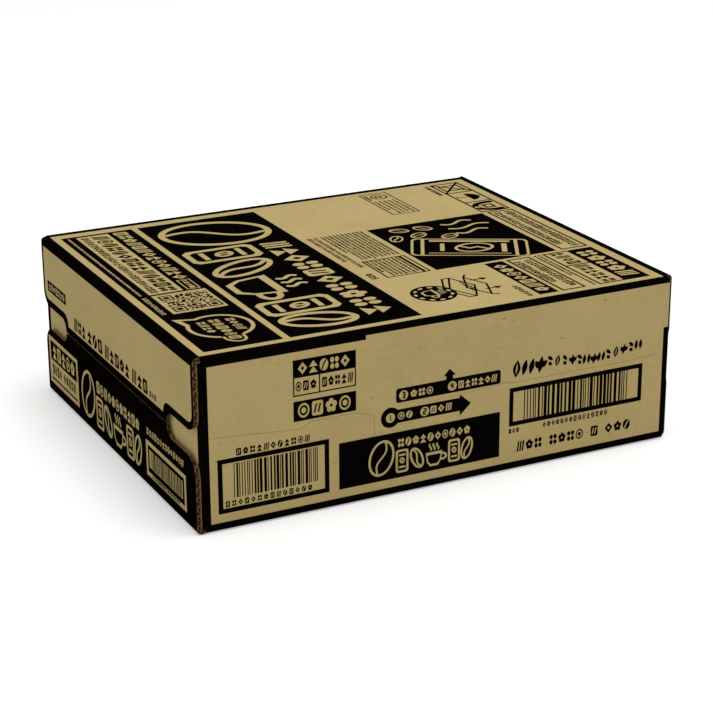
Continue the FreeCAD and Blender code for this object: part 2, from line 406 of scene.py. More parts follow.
@dataclass(frozen=True)
class Bend:
    """Folds at the two ends of a flat span, each a quarter circle of its own radius."""

    low: float = 0.0
    high: float = 0.0
    low_radius: float = 0.0
    high_radius: float = 0.0

    def fold(self, s: np.ndarray) -> tuple[np.ndarray, np.ndarray, np.ndarray]:
        """Carry developed distances round the folds.

        Between the folds the distance is the place itself. Past one, with the angle
        t = overrun / radius, the place is the fold's start + radius sin t and it drops by
        radius (1 - cos t). Past a right angle it drops straight.

        Args:
            s: Developed distances.

        Returns:
            Places along the span, drops below it, and the angle turned, signed.
        """
        along, drop, angle = s.copy(), np.zeros_like(s), np.zeros_like(s)
        for edge, radius, sign in ((self.low, self.low_radius, -1.0),
                                   (self.high, self.high_radius, 1.0)):
            if radius <= 0:
                continue
            start = edge - sign * radius
            over = np.maximum((s - start) * sign, 0.0)
            turn = np.minimum(over / radius, math.pi / 2)
            past = over > 0
            along = np.where(past, start + sign * radius * np.sin(turn), along)
            drop = drop + radius * (1 - np.cos(turn)) + (over - turn * radius)
            angle = angle + sign * turn
        return along, drop, angle

    def stations(self) -> np.ndarray:
        """Developed distances of the straight steps round both folds.

        Returns:
            The distances, none for a side that has no fold.
        """
        turn = np.linspace(0, math.pi / 2, ARC_STEPS + 1)
        low = self.low + self.low_radius - turn * self.low_radius
        high = self.high - self.high_radius + turn * self.high_radius
        rows = [r for r, radius in ((low, self.low_radius), (high, self.high_radius)) if radius]
        return np.concatenate(rows) if rows else np.zeros(0)


@dataclass(frozen=True)
class FoldedFace:
    """A face of the case, with what is folded round from it.

    corner: Its lower left corner as seen from outside. across, up, out: Unit directions.
    """

    corner: tuple[float, float, float]
    across: tuple[float, float, float]
    up: tuple[float, float, float]
    out: tuple[float, float, float]
    across_bend: Bend = Bend()
    up_bend: Bend = Bend()

    def place(self, flat: np.ndarray, depth: np.ndarray | float) -> np.ndarray:
        """Carry flat points round the folds, at a depth under the outer surface.

        The place is corner + across u + up v - out (drop of u + drop of v), less the depth
        along the turned normal.

        Args:
            flat: Flat points (n, 2).
            depth: Depth of all points, or of each.

        Returns:
            The points in millimetres (n, 3).
        """
        across, up, out = (np.array(axis) for axis in (self.across, self.up, self.out))
        u, drop_u, turn_u = self.across_bend.fold(flat[:, 0])
        v, drop_v, turn_v = self.up_bend.fold(flat[:, 1])
        normal = (across * np.sin(turn_u)[:, None] + up * np.sin(turn_v)[:, None]
                  + out * (np.cos(turn_u) * np.cos(turn_v))[:, None])
        normal /= np.linalg.norm(normal, axis=1, keepdims=True)
        depth = np.broadcast_to(np.asarray(depth, float), (len(flat),))
        return (np.array(self.corner) + across * u[:, None] + up * v[:, None]
                - out * (drop_u + drop_v)[:, None] - normal * depth[:, None])

    def guides(self, low: np.ndarray, high: np.ndarray) -> list[np.ndarray]:
        """Lines in the flat along every step of the folds that an outline crosses.

        Args:
            low: The outline's lowest place each way.
            high: Its highest.

        Returns:
            The two ends of each line.
        """
        lines = [np.array([(s, low[1]), (s, high[1])]) for s in self.across_bend.stations()
                 if low[0] < s < high[0]]
        lines += [np.array([(low[0], s), (high[0], s)]) for s in self.up_bend.stations()
                  if low[1] < s < high[1]]
        return lines


# ---------------------------------------------------------------- meshes


@dataclass
class Shell:
    """Points in millimetres, faces, and a flat coordinate for each point."""

    points: np.ndarray
    faces: list
    flat: np.ndarray

    def half_turn(self) -> "Shell":
        """The same shell at the other end: half a turn about the upright axis."""
        return Shell(self.points * (-1, -1, 1), self.faces, self.flat)

    @staticmethod
    def joined(shells: list["Shell"]) -> "Shell":
        """One shell from several, their point numbers moved on.

        Args:
            shells: The shells, in order.

        Returns:
            The one shell.
        """
        starts = np.cumsum([0] + [len(shell.points) for shell in shells[:-1]])
        faces = [tuple(int(n) + int(start) for n in face)
                 for shell, start in zip(shells, starts) for face in shell.faces]
        return Shell(np.concatenate([shell.points for shell in shells]), faces,
                     np.concatenate([shell.flat for shell in shells]))


def sheet(face: FoldedFace, outline: np.ndarray, outer: float, inner: float,
          creases: list[Crease] | None = None) -> Shell:
    """A closed sheet of board of one outline: an outer skin, an inner skin and its rim.

    Args:
        face: The folded face that the sheet lies in.
        outline: The sheet's flat outline.
        outer: Depth of its outer skin.
        inner: Depth of its inner skin.
        creases: Lines pressed into its outer skin.

    Returns:
        The closed shell.
    """
    low, high = outline.min(axis=0) - 1, outline.max(axis=0) + 1
    cut = cut_flat([outline], face.guides(low, high), creases)
    used, numbers = np.unique(cut.triangles, return_inverse=True)
    tri = numbers.reshape(-1, 3)
    points, count = cut.points[used], len(used)
    skins = np.concatenate([face.place(points, outer + cut.pressed[used]),
                            face.place(points, inner)])
    sides = np.concatenate([tri[:, [0, 1]], tri[:, [1, 2]], tri[:, [2, 0]]])
    keys = sides[:, 0] * count + sides[:, 1]
    free = sides[~np.isin(sides[:, 1] * count + sides[:, 0], keys)]
    rim = np.stack([free[:, 1], free[:, 0], free[:, 0] + count, free[:, 1] + count], axis=-1)
    faces = [*map(tuple, tri.tolist()), *map(tuple, (tri[:, ::-1] + count).tolist()),
             *map(tuple, rim.tolist())]
    return Shell(skins, faces, np.concatenate([points, points]))


def closed_strip(outer: np.ndarray, inner: np.ndarray, flat: np.ndarray, rows: int,
                 flip: bool) -> Shell:
    """Close two grids of one layout into a strip with a rim.

    Args:
        outer, inner: Points of the two grids, row after row.
        flat: Their flat coordinates.
        rows: Number of rows.
        flip: Turn the faces over, for a grid that runs the other way round.

    Returns:
        The closed strip.
    """
    count = len(outer)
    grid = np.arange(count).reshape(rows, -1)
    quads = np.stack([grid[:-1, :-1], grid[1:, :-1], grid[1:, 1:], grid[:-1, 1:]], -1)
    quads = quads.reshape(-1, 4)
    ring = np.concatenate([grid[:-1, 0], grid[-1, :-1], grid[:0:-1, -1], grid[0, :0:-1]])
    after = np.roll(ring, -1)
    rim = np.stack([ring, ring + count, after + count, after], -1)
    if flip:
        quads, rim = quads[:, ::-1], rim[:, ::-1]
    faces = np.concatenate([quads, quads[:, ::-1] + count, rim])
    return Shell(np.concatenate([outer, inner]), [*map(tuple, faces.tolist())],
                 np.concatenate([flat, flat]))


def film(face: FoldedFace, layout: "Layout") -> Shell:
    """Cut the print of one face and fold it round.

    Args:
        face: The folded face that the print lies on.
        layout: Its outlines. A triangle is kept where the last one laid over it is ink.

    Returns:
        The film, open at its edges.
    """
    loops = layout.loops
    low = np.min([loop.min(axis=0) for loop in loops], axis=0) - 1
    high = np.max([loop.max(axis=0) for loop in loops], axis=0) + 1
    cut = cut_flat(loops, face.guides(low, high))
    tri = cut.triangles[np.array(layout.inked)[cut.top]]
    used, numbers = np.unique(tri, return_inverse=True)
    points = cut.points[used]
    return Shell(face.place(points, PRINT_SINK),
                 [*map(tuple, numbers.reshape(-1, 3).tolist())], points)


def link_object(name: str, data: bpy.types.ID) -> bpy.types.Object:
    """Make an object of some data and link it into the scene.

    Args:
        name: The object's name.
        data: Its mesh, light or camera.

    Returns:
        The object.
    """
    made = bpy.data.objects.new(name, data)
    bpy.context.scene.collection.objects.link(made)
    return made


def make_piece(name: str, shell: Shell, material: bpy.types.Material,
               smooth_angle: float = 30.0) -> bpy.types.Object:
    """Put a shell into a mesh object that rides on the case.

    Args:
        name: The piece's name.
        shell: Its points in millimetres, its faces and its flat coordinates. Skins are
            triangles and rims are quads, so a face with four corners is marked as cut edge.
        material: Its material.
        smooth_angle: Edges that turn by more degrees than this stay sharp.

    Returns:
        The object, at the origin.
    """
    mesh = bpy.data.meshes.new(name)
    mesh.from_pydata((shell.points * MM).tolist(), [], shell.faces)
    layer = mesh.uv_layers.new(name=FLAT_UV)
    corners = np.zeros(len(mesh.loops), np.int32)
    mesh.loops.foreach_get("vertex_index", corners)
    layer.data.foreach_set("uv", (shell.flat[corners] * MM).astype(np.float32).ravel())
    mesh.validate()
    sides = np.zeros(len(mesh.polygons), np.int32)
    mesh.polygons.foreach_get("loop_total", sides)
    mesh.attributes.new(CUT_EDGE, "FLOAT", "FACE").data.foreach_set(
        "value", (sides == 4).astype(np.float32))
    mesh.shade_smooth()
    mesh.set_sharp_from_angle(angle=math.radians(smooth_angle))
    mesh.materials.append(material)
    piece = link_object(name, mesh)
    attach(piece, BODY)
    LOG.info("%s: %d points, %d faces", name, len(mesh.vertices), len(mesh.polygons))
    return piece


# ---------------------------------------------------------------- finishes


def add_node(tree: bpy.types.NodeTree, kind: str, settings: dict | None = None,
             links: dict | None = None) -> bpy.types.Node:
    """Add a node with its settings and links.

    Args:
        tree: The node tree.
        kind: The node's Blender type.
        settings: Property names, or input names or numbers, with their values.
        links: Input names or numbers with the output sockets that feed them.

    Returns:
        The node.
    """
    node = tree.nodes.new(kind)
    for key, value in (settings or {}).items():
        if isinstance(key, int) or key in node.inputs:
            node.inputs[key].default_value = value
        else:
            setattr(node, key, value)
    for key, socket in (links or {}).items():
        tree.links.new(socket, node.inputs[key])
    return node


def new_material(name: str) -> tuple[bpy.types.Material, bpy.types.NodeTree]:
    """A material with nothing in its node tree.

    Args:
        name: The material's name.

    Returns:
        The material and its node tree.
    """
    material = bpy.data.materials.new(name)
    material.use_nodes = True
    material.node_tree.nodes.clear()
    return material, material.node_tree


@dataclass(frozen=True)
class Finish:
    """What the case's finishes share: a shine, and a tone that runs between colours."""

    roughness: float
    specular: float

    @staticmethod
    def tones(tree: bpy.types.NodeTree, fac: bpy.types.NodeSocket,
              stops: dict[float, str]) -> bpy.types.NodeSocket:
        """Turn a value to a colour.

        Args:
            tree: The node tree.
            fac: The socket that gives the value.
            stops: Values with their sRGB hex colours, from low to high.

        Returns:
            The socket that gives the colour.
        """
        ramp = add_node(tree, "ShaderNodeValToRGB", links={"Fac": fac})
        spots = ramp.color_ramp.elements
        for i, (value, colour) in enumerate(stops.items()):
            stop = spots[i] if i < len(spots) else spots.new(value)
            stop.position, stop.color = value, linear(colour)
        return ramp.outputs[0]

    def close(self, tree: bpy.types.NodeTree, links: dict) -> None:
        """Add the surface's shader with the finish's shine, and the tree's output.

        Args:
            tree: The material's node tree.
            links: What feeds the shader, by input.
        """
        shine = {"Roughness": self.roughness, "Specular IOR Level": self.specular}
        shader = add_node(tree, "ShaderNodeBsdfPrincipled", shine, links)
        add_node(tree, "ShaderNodeOutputMaterial", links={"Surface": shader.outputs[0]})


class FluteRun(Enum):
    """The flat direction that runs across the flutes, by its name on a wave texture."""

    ACROSS = "X"
    UP = "Y"


@dataclass(frozen=True)
class KraftLiner(Finish):
    """Unbleached kraft liner, calendered on the paper machine: matt, warm, faintly fibrous.

    Its fibres lie mostly along the machine, so its mottle is drawn out one way. Dark shives
    and pale fibres show as specks, and the flutes under it give it a faint ribbing.
    """

    roughness: float = 0.78
    specular: float = 0.08
    base: str = "#B7A26C"
    pale: str = "#BCA771"
    dark: str = "#AF9A66"
    shive: str = "#6E5730"
    cut: str = "#7A5E3C"            # raw edge, in its own shadow
    fibre_mm: float = 1.1
    flute_mm: float = 6.0
    clouds_per_m: float = 28.0
    shives_per_m: float = 330.0
    patches_per_m: float = 95.0     # patches where the shives show

    def material(self, name: str, flutes: FluteRun) -> bpy.types.Material:
        """Build the liner's material.

        Args:
            name: The material's name.
            flutes: The direction that its ribbing crosses.

        Returns:
            The material.
        """
        material, tree = new_material(name)
        place = {"Vector": add_node(tree, "ShaderNodeTexCoord").outputs["Object"]}
        flat = add_node(tree, "ShaderNodeUVMap", {"uv_map": FLAT_UV})
        drawn = add_node(tree, "ShaderNodeMapping", {"Scale": (0.28, 1.0, 1.0)}, place)
        fibres = add_node(tree, "ShaderNodeTexNoise",
                          {"Scale": 1 / (self.fibre_mm * MM), "Detail": 3.0, "Roughness": 0.6},
                          {"Vector": drawn.outputs[0]})
        clouds = add_node(tree, "ShaderNodeTexNoise",
                          {"Scale": self.clouds_per_m, "Detail": 3.0, "Roughness": 0.55}, place)
        tone = add_node(tree, "ShaderNodeMix", {"data_type": "FLOAT", 0: 0.55},
                        {2: clouds.outputs[0], 3: fibres.outputs[0]})
        paper = self.tones(tree, tone.outputs[0],
                           {0.32: self.dark, 0.5: self.base, 0.7: self.pale})
        hairs = add_node(tree, "ShaderNodeMapping", {"Scale": (0.35, 1.0, 0.8)}, place)
        specks = add_node(tree, "ShaderNodeTexVoronoi", {"Scale": self.shives_per_m},
                          {"Vector": hairs.outputs[0]})
        patches = add_node(tree, "ShaderNodeTexNoise",
                           {"Scale": self.patches_per_m, "Detail": 1.0}, place)
        near = add_node(tree, "ShaderNodeMapRange",
                        {"From Min": 0.10, "From Max": 0.22, "To Min": 1.0, "To Max": 0.0},
                        {"Value": specks.outputs["Distance"]})
        chosen = add_node(tree, "ShaderNodeMapRange",
                          {"From Min": 0.60, "From Max": 0.68, "To Min": 0.0, "To Max": 0.55},
                          {"Value": patches.outputs[0]})
        speck = add_node(tree, "ShaderNodeMath", {"operation": "MULTIPLY"},
                         {0: near.outputs[0], 1: chosen.outputs[0]})
        skin = add_node(tree, "ShaderNodeMix", {"data_type": "RGBA", 7: linear(self.shive)},
                        {0: speck.outputs[0], 6: paper})
        edge = add_node(tree, "ShaderNodeAttribute", {"attribute_name": CUT_EDGE})
        whole = add_node(tree, "ShaderNodeMix", {"data_type": "RGBA", 7: linear(self.cut)},
                         {0: edge.outputs["Fac"], 6: skin.outputs[2]})
        # a wave texture of scale 1 has 20 radians to a unit
        ribs = add_node(tree, "ShaderNodeTexWave",
                        {"bands_direction": flutes.value,
                         "Scale": 2 * math.pi / (self.flute_mm * MM) / 20.0},
                        {"Vector": flat.outputs["UV"]})
        rough = add_node(tree, "ShaderNodeBump", {"Strength": 0.2, "Distance": 0.0002},
                         {"Height": fibres.outputs[0]})
        ribbed = add_node(tree, "ShaderNodeBump", {"Strength": 0.12, "Distance": 0.0002},
                          {"Height": ribs.outputs[1], "Normal": rough.outputs[0]})
        self.close(tree, {"Base Color": whole.outputs[2], "Normal": ribbed.outputs[0]})
        return material


@dataclass(frozen=True)
class FluteMedium(Finish):
    """Semichemical fluting medium, hot-pressed into waves: browner and rougher than liner."""

    roughness: float = 0.9
    specular: float = 0.05
    base: str = "#AC8459"
    dark: str = "#412918"
    fibres_per_m: float = 900.0

    def material(self, name: str) -> bpy.types.Material:
        """Build the medium's material, mottled at the size of its torn fibres.

        Args:
            name: The material's name.

        Returns:
            The material.
        """
        material, tree = new_material(name)
        place = {"Vector": add_node(tree, "ShaderNodeTexCoord").outputs["Object"]}
        mottle = add_node(tree, "ShaderNodeTexNoise",
                          {"Scale": self.fibres_per_m, "Detail": 3.0, "Roughness": 0.65}, place)
        colour = self.tones(tree, mottle.outputs[0], {0.35: self.dark, 0.65: self.base})
        bump = add_node(tree, "ShaderNodeBump", {"Strength": 0.4, "Distance": 0.0003},
                        {"Height": mottle.outputs[0]})
        self.close(tree, {"Base Color": colour, "Normal": bump.outputs[0]})
        return material


@dataclass(frozen=True)
class FlexoInk(Finish):
    """Water-based flexographic black, stamped on kraft: matt, with a faint brown mottle."""

    roughness: float = 0.7
    specular: float = 0.0
    base: str = "#050403"
    thin: str = "#0B0906"
    clouds_per_m: float = 260.0

    def material(self, name: str) -> bpy.types.Material:
        """Build the ink's material, thinner in clouds.

        Args:
            name: The material's name.

        Returns:
            The material.
        """
        material, tree = new_material(name)
        place = {"Vector": add_node(tree, "ShaderNodeTexCoord").outputs["Object"]}
        clouds = add_node(tree, "ShaderNodeTexNoise",
                          {"Scale": self.clouds_per_m, "Detail": 4.0, "Roughness": 0.7}, place)
        colour = self.tones(tree, clouds.outputs[0], {0.4: self.base, 0.75: self.thin})
        self.close(tree, {"Base Color": colour})
        return material


# ---------------------------------------------------------------- print


class Mark(Enum):
    """Plain shapes that stand in a line of print."""

    BEAN = 0
    DIAMOND = 1
    WEDGES = 2
    HATCH = 3
    DOTS = 4
    TARGET = 5
    BLOSSOM = 6
    TILE = 7


def mark_shapes() -> dict:
    """The outlines of each mark in a unit cell.

    Returns:
        For each mark, its outlines in the order they are laid down, each with whether it is
        laid as the mark or as a gap in it.
    """
    diamond = np.array([(0.5, 0), (1, 0.5), (0.5, 1), (0, 0.5)], float)
    return {
        Mark.BEAN: [(oval(0.5, 0.5, 0.46, 0.5, steps=20), True),
                    (stroke(np.array([(0.3, 0.12), (0.45, 0.5), (0.7, 0.88)]), 0.15), False)],
        Mark.DIAMOND: [(diamond, True), (diamond * 0.36 + 0.32, False)],
        Mark.WEDGES: [(np.array([(0.02, low), (0.98, low), (0.5, low + 0.5)]), True)
                      for low in (0.0, 0.5)],
        Mark.HATCH: [(stroke(np.array([(x, 0.0), (x + 0.16, 1.0)]), 0.2), True)
                     for x in (0.1, 0.42, 0.74)],
        Mark.DOTS: [(oval(x, y, 0.22, 0.23, steps=12), True)
                    for x in (0.25, 0.75) for y in (0.24, 0.76)],
        Mark.TARGET: [(oval(0.5, 0.5, radius, radius * 1.04, steps=20), radius != 0.34)
                      for radius in (0.48, 0.34, 0.2)],
        Mark.BLOSSOM: [*((oval(0.5 + 0.28 * math.sin(turn), 0.5 + 0.28 * math.cos(turn),
                               0.21, 0.22, steps=10), True)
                         for turn in np.linspace(0, 2 * math.pi, 5, endpoint=False).tolist()),
                       (oval(0.5, 0.5, 0.11, 0.11, steps=10), False)],
        Mark.TILE: [(rectangle(0.04, 0.0, 0.96, 1.0, radius=0.16, steps=3), True),
                    (stroke(np.array([(0.24, 0.2), (0.42, 0.8)]), 0.13), False),
                    (stroke(np.array([(0.56, 0.2), (0.74, 0.8)]), 0.13), False)],
    }


MARK_SHAPES = mark_shapes()


@dataclass
class Layout:
    """The print of one face: outlines in the order in which they are laid down."""

    loops: list[np.ndarray] = field(default_factory=list)
    inked: list[bool] = field(default_factory=list)

    def lay(self, inked: bool, *loops: np.ndarray) -> None:
        """Lay outlines down, inked or left bare."""
        self.loops += [np.asarray(loop, float) for loop in loops]
        self.inked += [inked] * len(loops)

    def ink(self, *loops: np.ndarray) -> None:
        """Lay outlines of ink down."""
        self.lay(True, *loops)

    def bare(self, *loops: np.ndarray) -> None:
        """Lay outlines down that leave the board bare."""
        self.lay(False, *loops)

    def runs(self, paths: list, line: float, at: Spot = (0, 0)) -> None:
        """Ink paths as straight runs of one width, each lengthened by half a width.

        Args:
            paths: Lists of points. A path may close or cross itself.
            line: The runs' width.
            at: Where the paths' origin lies.
        """
        for path in paths:
            spots = np.array(path, float) + at
            for start, end in zip(spots, spots[1:]):
                over = (end - start) / np.linalg.norm(end - start) * line / 2
                self.ink(stroke(np.array([start - over, end + over]), line))

    def frame(self, left: float, low: float, right: float, high: float, line: float,
              radius: float = 0.0, inked: bool = True) -> None:
        """Lay a rectangular frame down, its line inside the given sides.

        Args:
            left, low, right, high: The frame's outer sides.
            line: The line's width.
            radius: Radius of the outer corners.
            inked: Whether the line is ink, or bare with ink inside it.
        """
        self.lay(inked, rectangle(left, low, right, high, radius=radius))
        self.lay(not inked, rectangle(left + line, low + line, right - line, high - line,
                                      radius=max(radius - line, 0.0)))

    def mark(self, kind: Mark, x: float, y: float, wide: float, tall: float, inked: bool,
             slant: float = 0.0) -> None:
        """Lay one mark down.

        Args:
            kind: The mark.
            x, y, wide, tall: Its cell's lower left corner and size.
            inked: Ink on board, or board on ink.
            slant: Sideways lean for each millimetre up.
        """
        for loop, solid in MARK_SHAPES[kind]:
            placed = loop * (wide, tall)
            placed[:, 0] += placed[:, 1] * slant
            self.lay(inked == solid, placed + (x, y))

    def line(self, left: float, low: float, right: float, high: float, seed: int,
             inked: bool = True, pitch: float = 0.92, slant: float = 0.0,
             gap: float = 0.12) -> None:
        """Lay a line of marks down that fills a box as a line of print would.

        Args:
            left, low, right, high: The box.
            seed: Picks the marks. No mark follows itself.
            inked: Ink on board, or board on ink.
            pitch: Cell width over height.
            slant: Sideways lean for each millimetre up.
            gap: Part of a cell left between two marks.
        """
        picks = np.random.default_rng(seed)
        tall = high - low
        count = max(int(round((right - left) / (tall * pitch))), 1)
        cell = (right - left) / count
        kinds = np.cumsum(picks.integers(1, len(Mark), count)) % len(Mark)
        for i, kind in enumerate(kinds.tolist()):
            self.mark(Mark(kind), left + i * cell, low, cell * (1 - gap), tall, inked, slant)

    def dashes(self, left: float, low: float, right: float, high: float, seed: int,
               inked: bool = True) -> None:
        """Lay a run of short dashes down, as fine print shows from a distance.

        Args:
            left, low, right, high: The run's box.
            seed: Picks the dashes' lengths and gaps.
            inked: Ink on board, or board on ink.
        """
        picks = np.random.default_rng(seed)
        tall = high - low
        x = left
        while x < right - tall:
            dash = min(tall * (0.45 + 1.05 * picks.random()), right - x)
            self.lay(inked, rectangle(x, low, x + dash, high))
            x += dash + tall * (0.25 + 0.35 * picks.random())

    def paragraph(self, left: float, low: float, right: float, high: float, rows: int,
                  seed: int, weight: float = 0.58) -> None:
        """Ink rows of fine print, one above another, the last one shorter.

        Args:
            left, low, right, high: The paragraph's box.
            rows: Number of rows.
            seed: Seed of the first row. Each row's is one higher.
            weight: Part of the pitch of the rows that is inked.
        """
        pitch = (high - low) / rows
        for row in range(rows):
            base = high - (row + 1) * pitch + pitch * (1 - weight) / 2
            end = right if row < rows - 1 else left + (right - left) * 0.7
            self.dashes(left, base, end, base + pitch * weight, seed + row)

    def stripes(self, left: float, low: float, right: float, high: float, seed: int,
                fine: float) -> None:
        """Ink upright stripes, each one to three fine stripes wide.

        Args:
            left, low, right, high: Their box.
            seed: Picks their widths and gaps.
            fine: Width of a fine stripe.
        """
        picks = np.random.default_rng(seed)
        x = left
        while x < right - fine:
            wide = fine * int(picks.choice([1, 1, 1, 2, 2, 3]))
            self.ink(rectangle(x, low, min(x + wide, right), high))
            x += wide + fine * int(picks.choice([1, 1, 1, 2, 2]))


def wisp(x: float, low: float, tall: float, sway: float, steps: int) -> np.ndarray:
    """Path of a wisp of steam: it sways by sway sin(2 pi t) as it rises."""
    t = np.linspace(0, 1, steps)
    return np.stack([x + np.sin(t * 2 * math.pi) * sway, low + t * tall], -1)


@dataclass(frozen=True)
class Pen:
    """Draws plain coffee pictures on an inked field, as bare outlines of one width."""

    page: Layout
    line: float

    def bean(self, x: float, y: float, wide: float, tall: float, tilt: float) -> None:
        """Draw a coffee bean with an S-shaped crease.

        Args:
            x, y: Its middle.
            wide, tall: Half its width and half its height.
            tilt: How far it is turned, in degrees.
        """
        line = self.line
        self.page.bare(oval(x, y, wide, tall, tilt=tilt, steps=64))
        self.page.ink(oval(x, y, wide - line, tall - line, tilt=tilt, steps=64))
        t = np.linspace(-1, 1, 25)
        crease = np.stack([x + np.sin(t * math.pi) * wide * 0.22, y + t * (tall - line)], -1)
        self.page.bare(stroke(turned(crease, math.radians(tilt), (x, y)), line * 0.8))

    def can(self, left: float, low: float, right: float, high: float) -> None:
        """Draw a slim can with necked ends, two plain bands and a bean.

        Args:
            left, low, right, high: Its box.
        """
        wide, tall, line = right - left, high - low, self.line
        neck = wide * 0.14
        body = np.array([(left + neck, low), (right - neck, low), (right, low + neck),
                         (right, high - neck), (right - neck, high), (left + neck, high),
                         (left, high - neck), (left, low + neck)], float)
        centre = np.array([(left + right) / 2, (low + high) / 2])
        shrink = np.array([(wide - 2 * line) / wide, (tall - 2 * line) / tall])
        self.page.bare(body)
        self.page.ink((body - centre) * shrink + centre)
        for part in (0.2, 0.72):
            base = low + tall * part
            self.page.bare(rectangle(left + line * 1.5, base, right - line * 1.5,
                                     base + line * 0.9))
        Pen(self.page, line * 0.6).bean(centre[0], low + tall * 0.52, wide * 0.2, tall * 0.14,
                                        20)

    def cup(self, left: float, low: float, right: float, high: float) -> None:
        """Draw a cup with a handle, and steam over it.

        Args:
            left, low, right, high: Its box.
        """
        wide, tall, line = right - left, high - low, self.line
        brim, foot = low + tall * 0.62, low + tall * 0.2
        bowl_right = right - wide * 0.24
        handle = (bowl_right, low + tall * 0.36)
        self.page.bare(oval(*handle, wide * 0.22, tall * 0.17))
        self.page.ink(oval(*handle, wide * 0.22 - line, tall * 0.17 - line))
        bowl = np.array([(left, brim), (left + wide * 0.06, foot), (left + wide * 0.2, low),
                         (bowl_right - wide * 0.2, low), (bowl_right - wide * 0.06, foot),
                         (bowl_right, brim)])
        centre = bowl.mean(axis=0)
        shrink = (1 - 2.1 * line / wide, 1 - 2.4 * line / (brim - low))
        self.page.bare(bowl)
        self.page.ink((bowl - centre) * shrink + centre)
        for part in (0.28, 0.5, 0.72):
            self.page.bare(stroke(wisp(left + (bowl_right - left) * part, brim + line * 0.8,
                                       high - brim - line, wide * 0.045, 9), line * 0.75))

    def offer(self, left: float, low: float, right: float, high: float, seed: int) -> None:
        """Draw the offer: a large bean, a line of marks and a row of pictures.

        Args:
            left, low, right, high: Its box.
            seed: Picks the marks.
        """
        wide, tall = right - left, high - low
        row = low + tall * 0.64
        Pen(self.page, self.line * 1.1).bean(left + wide * 0.128, low + tall * 0.5,
                                             wide * 0.118, tall * 0.5, -16)
        self.page.line(left + wide * 0.28, low + tall * 0.71, right - wide * 0.02,
                       low + tall * 0.95, seed, inked=False, pitch=0.9)
        for picture, start, end in ((self.can, 0.262, 0.382), (self.cup, 0.545, 0.755),
                                    (self.can, 0.76, 0.875)):
            picture(left + wide * start, low, left + wide * end, row)
        for middle, tilt in ((0.462, 24), (0.94, -14)):
            self.bean(left + wide * middle, (low + row) / 2, wide * 0.058, tall * 0.32, tilt)


def arrow(x: float, low: float, high: float, wide: float) -> np.ndarray:
    """Outline of an arrow that points up.

    Args:
        x: Where its middle line stands.
        low, high: The foot and the tip.
        wide: Width of the head.

    Returns:
        The outline's points.
    """
    neck, half = high - wide * 0.5, wide * 0.28
    return np.array([(x - half, low), (x + half, low), (x + half, neck), (x + wide / 2, neck),
                     (x, high), (x - wide / 2, neck), (x - half, neck)])


def umbrella(x: float, low: float, high: float, wide: float) -> list[np.ndarray]:
    """Outlines of an open umbrella, the mark for keeping dry.

    Args:
        x: Its middle.
        low, high: Its foot and its tip.
        wide: Its width.

    Returns:
        Its dome, its shaft and its crook.
    """
    tall, crook = high - low, 1.6
    t = np.linspace(0, math.pi, 15)
    dome = np.stack([x + np.cos(t) * wide / 2, low + tall * 0.48 + np.sin(t) * tall * 0.42], -1)
    hook = np.stack([x - crook + np.cos(-t) * crook, low + tall * 0.14 + np.sin(-t) * crook],
                    -1)
    return [dome, rectangle(x - 0.5, low + tall * 0.12, x + 0.5, high), stroke(hook, 1.0)]


def palms(x: float, low: float, high: float, wide: float) -> list[np.ndarray]:
    """Outlines of two cupped hands, the mark for careful handling.

    Args:
        x: The middle between them.
        low, high: Their foot and their tips.
        wide: The mark's width.

    Returns:
        The left hand and the right hand.
    """
    foot, tip = low + (high - low) * 0.12, low + (high - low) * 0.95
    return [stroke(curve((x + side * wide * 0.42, tip), (x + side * wide * 0.48, foot),
                         (x + side * wide * 0.06, foot)), 4.6) for side in (-1, 1)]


def step_number(number: int, x: float, y: float, size: float) -> list[np.ndarray]:
    """Outlines of a plain number's straight strokes.

    Args:
        number: A number from 1 to 4.
        x, y: Its middle.
        size: Its height.

    Returns:
        One outline for each stroke.
    """
    paths = {
        1: [[(-0.25, 0.6), (0.05, 1.0), (0.05, -1.0)]],
        2: [[(-0.5, 1), (0.5, 1), (0.5, 0.05), (-0.5, -0.05), (-0.5, -1), (0.55, -1)]],
        3: [[(-0.5, 1), (0.5, 1), (0.5, -1), (-0.5, -1)], [(-0.3, 0), (0.5, 0)]],
        4: [[(-0.45, 1), (-0.45, -0.1), (0.6, -0.1)], [(0.3, 1.0), (0.3, -1.0)]],
    }[number]
    return [stroke(np.array(path) * size * 0.5 + (x, y), size * 0.28) for path in paths]


